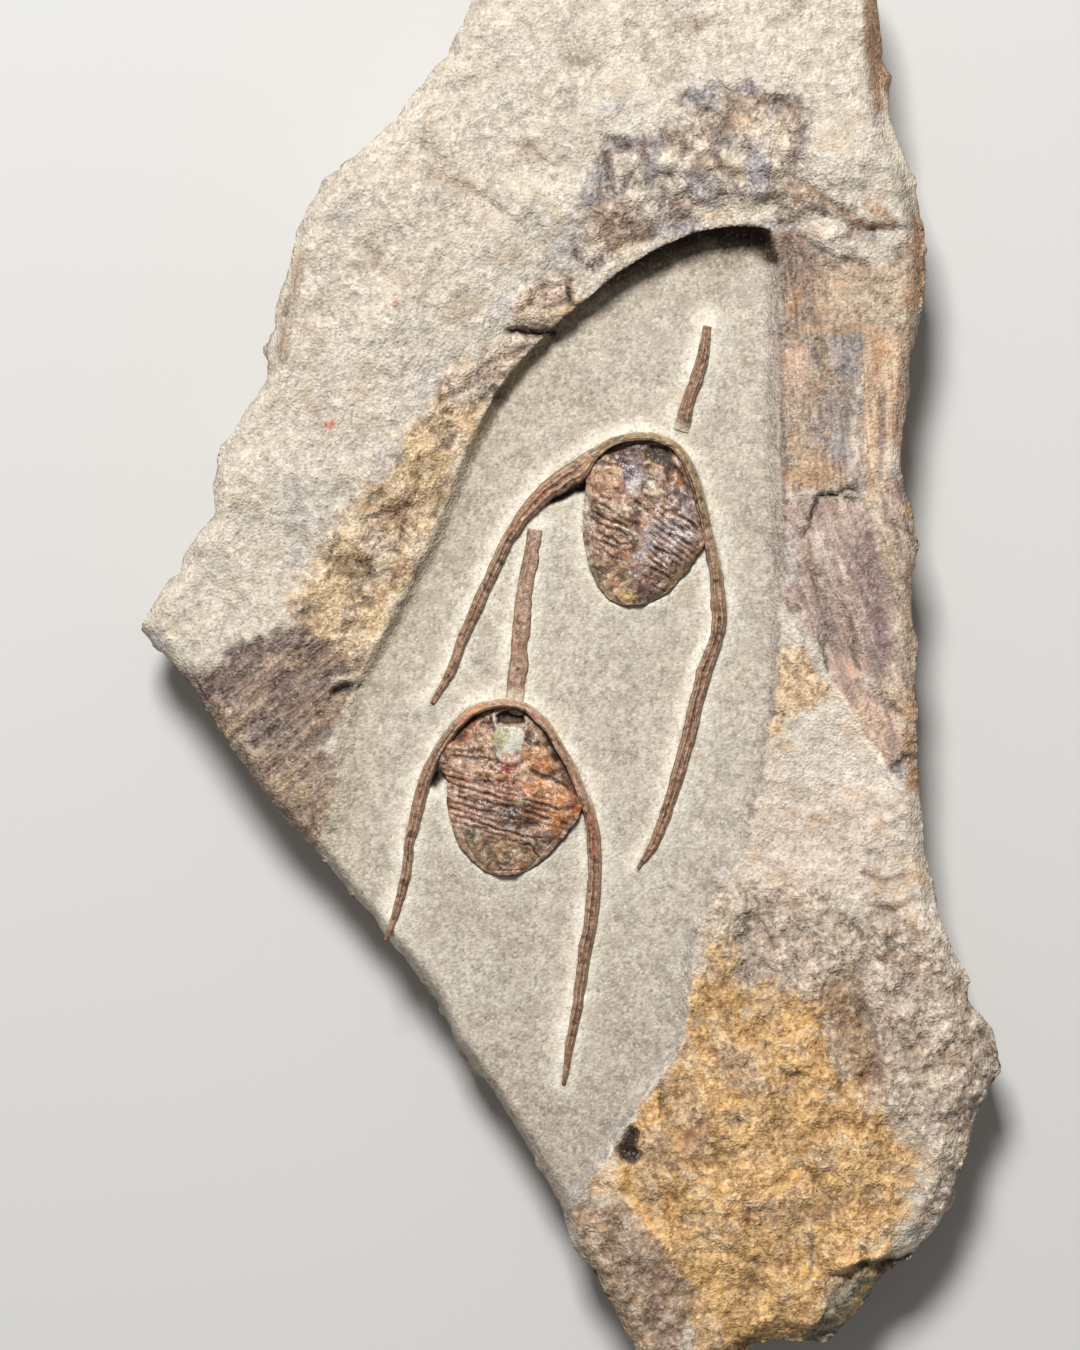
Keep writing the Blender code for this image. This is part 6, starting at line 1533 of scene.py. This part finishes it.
def body_height(x, y, u, v):
    """A body's height before its details: sides that rise to a domed middle with a raised axis."""
    crest = np.interp(v, range(len(BODY_CREST)), BODY_CREST)
    from_side = np.minimum(u, 1.0 - u)
    sides = 0.4 + 0.6 * smooth_step(-0.03, 0.2, from_side)
    on_axis = smooth_step(3.5, 4.5, v) * smooth_step(10.5, 8.0, v)
    axis = 0.35 * np.exp(-(((u - 0.52) / 0.13) ** 2)) - 0.15 * np.exp(-(((from_side - 0.3) / 0.05) ** 2))
    return floor_height(x, y) + PLATE_GAP + crest * sides + on_axis * axis


def build_body(side, edges, ridges, grooves, patches, rim_skin, finish, seed):
    """A body's head, thorax and tail, which are cut from one surface so that they meet."""
    at = np.arange(len(edges[0]), dtype=float)
    v_line = np.linspace(0.0, at[-1], BODY_ROWS * int(at[-1]) + 1)
    left, right = (curve_through(np.array(edge), at, v_line) for edge in edges)
    left[:, 0] += 0.16 * fractal(left[:, 1], 0.0 * v_line, 1.1, seed + 18, 3)
    right[:, 0] += 0.16 * fractal(right[:, 1], 0.0 * v_line, 1.1, seed + 19, 3)
    u, v = np.meshgrid(np.linspace(0.0, 1.0, BODY_COLUMNS + 1), v_line)
    x = left[:, :1] * (1.0 - u) + right[:, :1] * u
    y = left[:, 1:] * (1.0 - u) + right[:, 1:] * u
    wander = 0.45 * fractal(x, y, 1.8, seed + 2, 4) + 0.2 * fractal(x, y, 0.6, seed + 10, 2)
    height = body_height(x, y, u, v)
    relief = 0.16 * fractal(x, y, 2.2, seed, 3) + 0.13 * facets(x, y, 1.1, seed + 1)
    relief += 0.08 * facets(x, y, 0.5, seed + 6) + 0.2 * facets(x, y, 1.6, seed + 12)
    paint = Paint(x.size, "shell", SKINS)
    quiet, calm, hole = np.zeros((3,) + x.shape)
    for skin, lift, border, outline in patches:
        share = region_share(x, y, outline, border, wander * min(1.0, 2.5 * border))
        height += lift * share
        paint.add(skin, (0.9 * share).ravel())
        quiet += share * ((skin in QUIET) - quiet)
        calm += share * (("plug" in skin) - calm)
        hole += share * ((skin == "black_shade") - hole)
    height += relief * (1.0 - 0.8 * calm)
    bent_x = x + 0.2 * fractal(x, y, 0.7, seed + 13, 2)
    bent_y = y + 0.2 * fractal(x, y, 0.7, seed + 14, 2)
    tone = facet_tone(bent_x, bent_y, 0.75, seed + 15)
    # Flecks of colour, with painted highlights among them and painted shade in the darkest.
    for skin, low, high, amount in FLECKS:
        paint.add(skin, (amount * (1.0 - 0.85 * quiet) * ((tone > low) & (tone < high))).ravel())
    for slope, pitch, phase, amount, crest_skin, furrow_skin, outline in ridges:
        zone = region_share(x, y, outline, 0.6, 1.4 * wander)
        turn = (y - slope * x) / pitch - phase + 0.16 * fractal(x, y, 1.6, seed + 7, 3)
        ridge = np.abs(np.sin(np.pi * turn)) ** 0.7
        strength = zone * smooth_step(-0.5, 0.3, fractal(x, y, 1.9, seed + 8, 2))
        height += amount * strength * (ridge - 0.6)
        # Pale crests and dark furrows: partly the shell's own colour, partly painted highlight on the crests and
        # painted shade in the furrows, darkest patchily in their bottoms.
        paint.add(crest_skin, (0.45 * strength * smooth_step(0.75, 0.97, ridge)).ravel())
        paint.add(furrow_skin, (0.85 * strength * smooth_step(0.68, 0.38, ridge)).ravel())
        black_shade = 0.25 * smooth_step(-0.1, 0.5, fractal(x, y, 1.3, seed + 16, 2))
        paint.add("groove_shade", (black_shade * strength * smooth_step(0.45, 0.2, ridge)).ravel())
    for depth, half_width, line in grooves:
        bent = 0.15 * fractal(x, y, 0.9, seed + 9, 3)
        mark = stroke(x + bent, y + bent, line, half_width)
        height -= GROOVE_SCALE * depth * mark
        # Dark paint along the grooves: partly their own colour, partly painted shade in them.
        paint.add("furrow", np.clip(1.1 * mark, 0.0, 0.7).ravel())
        paint.add("groove_shade", (np.clip(0.9 * mark, 0.0, 0.35) * smooth_step(-0.4, 0.4, wander)).ravel())
    # Painted shade in the hollows of the surface and painted highlights on its bumps.
    cavity = height - blurred(height, 3)
    paint.add("furrow", (0.6 * smooth_step(0.02, 0.10, -cavity)).ravel())
    paint.add("groove_shade", (0.4 * smooth_step(0.07, 0.16, -cavity)).ravel())
    paint.add("glint", (0.35 * smooth_step(0.06, 0.16, cavity) * (1.0 - 0.85 * quiet)).ravel())
    from_edge = np.minimum(np.minimum(u, 1.0 - u) * 14.0, np.minimum(v, at[-1] - v) * 1.6)
    tail = smooth_step(6.6, 7.6, v) * np.clip(0.9 + 0.5 * fractal(x, y, 1.4, seed + 17, 2), 0.0, 1.0)
    band = smooth_step(0.15, 0.35, from_edge) * smooth_step(1.15, 0.95, from_edge)
    if rim_skin:
        knots = np.clip(0.8 + 0.7 * fractal(x, y, 0.9, seed + 22, 2), 0.0, 1.0)
        furrow = np.exp(-(((from_edge - 1.25) / 0.14) ** 2))
        height += tail * (0.12 * band * knots - 0.15 * furrow)
        paint.add(rim_skin, (0.8 * tail * band * knots).ravel())
        paint.add("furrow", (0.6 * tail * furrow).ravel())
    # Painted shadow along the body's edge, light at the sides and strongest under the tail.
    under_tail = smooth_step(6.0, 10.0, v)
    paint.add("groove_shade", ((0.1 + 0.55 * under_tail) * smooth_step(0.3, 0.0, from_edge)).ravel())
    polish = ((0.55 + 0.35 * fractal(x, y, 1.6, seed + 3, 2)) * (1.0 - hole)).ravel()
    grid = np.arange(x.size).reshape(x.shape)
    points = np.column_stack((x.ravel(), y.ravel(), height.ravel()))
    pieces = zip(("_head_shield", "_thorax", "_tail_shield"), BODY_JOINTS[:-1], BODY_JOINTS[1:])
    for suffix, first, last in pieces:
        rows = grid[first * BODY_ROWS:last * BODY_ROWS + 1]
        build_plate(side + suffix, points, rows, paint, polish, finish)


def build_plate(node, points, grid, whole_paint, whole_polish, finish):
    """One piece of a body from the rows of the body's grid, closed by walls that reach down into the rock."""
    chosen = grid.ravel()
    wide = grid.shape[1]
    faces = []
    for row in range(grid.shape[0] - 1):
        for column in range(wide - 1):
            here = row * wide + column
            faces.append((here, here + wide, here + wide + 1, here + 1))
    top = points[chosen]
    loop = border_loop(faces)
    below = top[loop].copy()
    below[:, 2] = FLOOR_HEIGHT - SUNK
    start = len(top)
    for n in range(len(loop)):
        after = (n + 1) % len(loop)
        faces.append((loop[n], start + n, start + after, loop[after]))
    faces.append(tuple(reversed(range(start, start + len(loop)))))
    paint = Paint(len(top), "shell", SKINS)
    paint.layers = [np.vstack((layer[chosen], layer[chosen][loop])) for layer in whole_paint.layers]
    polish = np.concatenate((whole_polish[chosen], whole_polish[chosen][loop]))
    plate = add_mesh(node + "_detail", np.vstack((top, below)), faces, paint, finish, {"polish": polish})
    plate.data.set_sharp_from_angle(angle=math.radians(60.0))
    carry(plate, node)


def new_material(name):
    """An empty node material and its shader."""
    made = bpy.data.materials.new(name)
    made.use_nodes = True
    return made, made.node_tree, made.node_tree.nodes["Principled BSDF"]


def place_on_mesh(tree):
    """Each point's place in the mesh's own space."""
    node = tree.nodes.get("Texture Coordinate") or tree.nodes.new("ShaderNodeTexCoord")
    return node.outputs["Object"]


def noise(tree, size, detail):
    """A noise with lumps about size millimetres across."""
    node = tree.nodes.new("ShaderNodeTexNoise")
    node.inputs["Scale"].default_value = 1.0 / (size * MM)
    node.inputs["Detail"].default_value = detail
    tree.links.new(place_on_mesh(tree), node.inputs["Vector"])
    return node.outputs["Fac"]


def set_input(tree, socket, value):
    """Links a socket or sets its number."""
    if isinstance(value, bpy.types.NodeSocket):
        tree.links.new(value, socket)
    else:
        socket.default_value = value


def calculate(tree, operation, first, second=0.0, third=0.0):
    """A Math node's result."""
    node = tree.nodes.new("ShaderNodeMath")
    node.operation = operation
    for socket, value in zip(node.inputs, (first, second, third)):
        set_input(tree, socket, value)
    return node.outputs[0]


def ramp(tree, value, low, high):
    """0 at low, 1 at high, and a smooth way between."""
    node = tree.nodes.new("ShaderNodeMapRange")
    node.interpolation_type = "SMOOTHSTEP"
    set_input(tree, node.inputs["Value"], value)
    node.inputs["From Min"].default_value = low
    node.inputs["From Max"].default_value = high
    return node.outputs["Result"]


def mix(tree, share, first, second, mode="MIX"):
    """A mix of two colours."""
    node = tree.nodes.new("ShaderNodeMix")
    node.data_type = "RGBA"
    node.blend_type = mode
    colour_inputs = [socket for socket in node.inputs if socket.type == "RGBA"]
    set_input(tree, node.inputs["Factor"], share)
    set_input(tree, colour_inputs[0], first)
    set_input(tree, colour_inputs[1], second)
    return next(socket for socket in node.outputs if socket.type == "RGBA")


def attribute(tree, name, output="Color"):
    """A value stored on the mesh's points."""
    node = tree.nodes.new("ShaderNodeAttribute")
    node.attribute_name = name
    return node.outputs[output]


def mottled(tree, sizes, strengths, grain, grain_strength, stain_size, stain_share):
    """The mesh's light, dark and stain colours, mottled by noises of the given sizes and by grains' tones."""
    share = calculate(tree, "MULTIPLY_ADD", calculate(tree, "SUBTRACT", grain, 0.5), grain_strength, 0.5)
    for size, strength in zip(sizes, strengths):
        centred = calculate(tree, "SUBTRACT", noise(tree, size, 2.0), 0.5)
        share = calculate(tree, "MULTIPLY_ADD", centred, strength, share)
    share = calculate(tree, "MINIMUM", calculate(tree, "MAXIMUM", share, 0.0), 1.0)
    base = mix(tree, share, attribute(tree, "dark"), attribute(tree, "light"))
    blotch = ramp(tree, noise(tree, stain_size, 3.0), 0.62 - 0.3 * stain_share, 0.78 - 0.3 * stain_share)
    return mix(tree, calculate(tree, "MULTIPLY", blotch, 0.7), base, attribute(tree, "stain"))


def cells(tree, size):
    """Grains about size millimetres across: a steady tone for each, and how far it is to its middle."""
    node = tree.nodes.new("ShaderNodeTexVoronoi")
    node.inputs["Scale"].default_value = 1.0 / (size * MM)
    tree.links.new(place_on_mesh(tree), node.inputs["Vector"])
    return node.outputs["Color"], node.outputs["Distance"]


def drawn_out(tree, degrees, length, width):
    """A noise drawn out along a direction on the slab, with lines about width millimetres across."""
    mapping = tree.nodes.new("ShaderNodeMapping")
    mapping.vector_type = "TEXTURE"
    mapping.inputs["Rotation"].default_value = (0.0, 0.0, math.radians(degrees))
    mapping.inputs["Scale"].default_value = (length * MM, width * MM, width * MM)
    tree.links.new(place_on_mesh(tree), mapping.inputs["Vector"])
    node = tree.nodes.new("ShaderNodeTexNoise")
    node.inputs["Scale"].default_value = 1.0
    node.inputs["Detail"].default_value = 4.0
    tree.links.new(mapping.outputs["Vector"], node.inputs["Vector"])
    return node.outputs["Fac"]


def rock_material():
    """Rough limestone: fine grains, pale and dark ones among them, painted shade in fine creases, and drawn-out
    lines.
    """
    made, tree, shader = new_material("limestone")
    grain, from_middle = cells(tree, 0.42)
    crystal, from_crystal = cells(tree, 0.3)
    colour = mottled(tree, (4.0, 1.0, 0.4), (1.0, 1.0, 1.1), grain, 0.75, 4.0, 0.25)
    dark_grains = calculate(tree, "MULTIPLY", ramp(tree, crystal, 0.24, 0.12), 0.35)
    colour = mix(tree, dark_grains, colour, (0.14, 0.10, 0.07, 1.0))
    pale_grains = calculate(tree, "MULTIPLY", ramp(tree, crystal, 0.78, 0.9), 0.5)
    palest = mix(tree, 0.35, attribute(tree, "light"), (0.84, 0.80, 0.73, 1.0))
    colour = mix(tree, pale_grains, colour, palest)
    # Painted shade: a network of fine creases darkened where the rock is rough, and bumped down as well.
    from_crease = calculate(tree, "ABSOLUTE", calculate(tree, "SUBTRACT", noise(tree, 2.6, 5.0), 0.5))
    patchy = ramp(tree, noise(tree, 1.7, 2.0), 0.45, 0.62)
    patchy = calculate(tree, "MULTIPLY", patchy, attribute(tree, "rough", "Fac"))
    crease_shade = calculate(tree, "MULTIPLY", ramp(tree, from_crease, 0.04, 0.0), patchy)
    colour = mix(tree, calculate(tree, "MULTIPLY", crease_shade, 0.4), colour, (0.09, 0.055, 0.035, 1.0))
    for kind, degrees in LINE_WAYS:
        lines = drawn_out(tree, degrees, 7.0, 0.4)
        share = calculate(tree, "MULTIPLY", attribute(tree, kind, "Fac"), 0.5)
        dark_lines = calculate(tree, "MULTIPLY", ramp(tree, lines, 0.54, 0.66), share)
        pale_lines = calculate(tree, "MULTIPLY", ramp(tree, lines, 0.46, 0.36), share)
        colour = mix(tree, dark_lines, colour, attribute(tree, "dark"))
        colour = mix(tree, pale_lines, colour, attribute(tree, "light"))
    tree.links.new(colour, shader.inputs["Base Color"])
    shader.inputs["Roughness"].default_value = 0.75
    shader.inputs["Specular IOR Level"].default_value = 0.35
    grit = calculate(tree, "ADD", noise(tree, 1.0, 3.0), calculate(tree, "MULTIPLY", from_middle, -0.5))
    grit = calculate(tree, "ADD", grit, calculate(tree, "MULTIPLY", from_crystal, -0.25))
    grit = calculate(tree, "MULTIPLY_ADD", crease_shade, -0.5, grit)
    evenness = calculate(tree, "MULTIPLY_ADD", attribute(tree, "calm", "Fac"), -0.4, 1.0)
    add_bump(tree, shader, calculate(tree, "MULTIPLY", grit, evenness), 0.26)
    return made


def add_bump(tree, shader, height, distance):
    """Bumps the shader's surface by a height, distance millimetres from 0 to 1."""
    bump = tree.nodes.new("ShaderNodeBump")
    bump.inputs["Strength"].default_value = 1.0
    bump.inputs["Distance"].default_value = distance * MM
    tree.links.new(height, bump.inputs["Height"])
    tree.links.new(bump.outputs["Normal"], shader.inputs["Normal"])


def fossil_material(name):
    """Calcite skin: patchy, finely mottled, and glossy where it is polished."""
    made, tree, shader = new_material(name)
    grain, from_middle = cells(tree, 0.3)
    colour = mottled(tree, (1.5, 0.6, 0.25), (1.4, 1.6, 1.2), grain, 0.5, 1.6, 0.3)
    tree.links.new(colour, shader.inputs["Base Color"])
    gloss = attribute(tree, "polish", "Fac")
    tree.links.new(calculate(tree, "MULTIPLY_ADD", gloss, -0.5, 0.7), shader.inputs["Roughness"])
    shader.inputs["Coat Weight"].default_value = 0.15
    shader.inputs["Coat Roughness"].default_value = 0.22
    grit = calculate(tree, "ADD", noise(tree, 0.6, 3.0), calculate(tree, "MULTIPLY", from_middle, -0.4))
    add_bump(tree, shader, grit, 0.16)
    return made


def build_trilobite(side, hoop, nose, body, ridges, grooves, patches, rib_patches, furrows, skins, seed):
    """One trilobite: its nose spine, its hoop with the cheek spines, and the three parts of its body."""
    nose_skin, lip_skin, rim_skin = skins
    shell = fossil_material(side + "_shell")
    build_rib(side + "_nose_spine", nose, shell, nose_skin, nose_skin, lambda share: 0.0 * share, (), (), seed)
    build_rib(side + "_cheek_hoop", hoop, shell, "spine", lip_skin, hoop_lips, rib_patches, furrows, seed + 10)
    build_body(side, body, ridges, grooves, patches, rim_skin, shell, seed + 20)


def build_stage():
    """A plain pale floor, soft light and the camera."""
    mesh = bpy.data.meshes.new("studio_floor")
    half = STAGE_HALF_WIDTH
    corners = [(-half, -half, 0), (half, -half, 0), (half, half, 0), (-half, half, 0)]
    mesh.from_pydata(corners, [], [(0, 1, 2, 3)])
    made, _, shader = new_material("pale_floor")
    shader.inputs["Base Color"].default_value = (0.55, 0.54, 0.52, 1.0)
    shader.inputs["Roughness"].default_value = 0.9
    mesh.materials.append(made)
    floor = bpy.data.objects.new("studio_floor", mesh)
    bpy.context.scene.collection.objects.link(floor)
    world = bpy.data.worlds.new("studio")
    world.use_nodes = True
    world.node_tree.nodes["Background"].inputs["Color"].default_value = (1.0, 0.99, 0.97, 1.0)
    world.node_tree.nodes["Background"].inputs["Strength"].default_value = 0.2
    bpy.context.scene.world = world
    bpy.context.scene.view_settings.view_transform = "Standard"
    add_light("key", *KEY_LIGHT)
    camera = bpy.data.cameras.new("camera")
    camera.sensor_width = SENSOR
    camera.lens = SENSOR * CAMERA_DISTANCE / VIEW_HEIGHT
    camera.clip_start = CLIP_START
    camera_object = bpy.data.objects.new("camera", camera)
    camera_object.location = (
        CAMERA_AT[0] * MM, CAMERA_AT[1] * MM, (CAMERA_FOCUS_HEIGHT + CAMERA_DISTANCE) * MM,
    )
    bpy.context.scene.collection.objects.link(camera_object)
    bpy.context.scene.camera = camera_object


def add_light(name, place, size, power):
    """A square soft light that faces the slab."""
    light = bpy.data.lights.new(name, "AREA")
    light.size = size
    light.energy = power
    lamp = bpy.data.objects.new(name, light)
    lamp.location = place
    lamp.rotation_euler = (Vector((0.0, 0.0, 0.0)) - Vector(place)).to_track_quat("-Z", "Y").to_euler()
    bpy.context.scene.collection.objects.link(lamp)


def main():
    """Builds the stage, the slab and both trilobites."""
    build_stage()
    build_slab(rock_material())
    build_trilobite(
        "upper", UPPER_HOOP, UPPER_NOSE, UPPER_BODY, UPPER_RIDGES, UPPER_GROOVES, UPPER_PATCHES,
        UPPER_RIB_PATCHES, UPPER_FURROWS, ("spine", "band", None), 200,
    )
    build_trilobite(
        "lower", LOWER_HOOP, LOWER_NOSE, LOWER_BODY, LOWER_RIDGES, LOWER_GROOVES, LOWER_PATCHES,
        LOWER_RIB_PATCHES, LOWER_FURROWS, ("nose", "peach", "pink_crest"), 300,
    )


main()
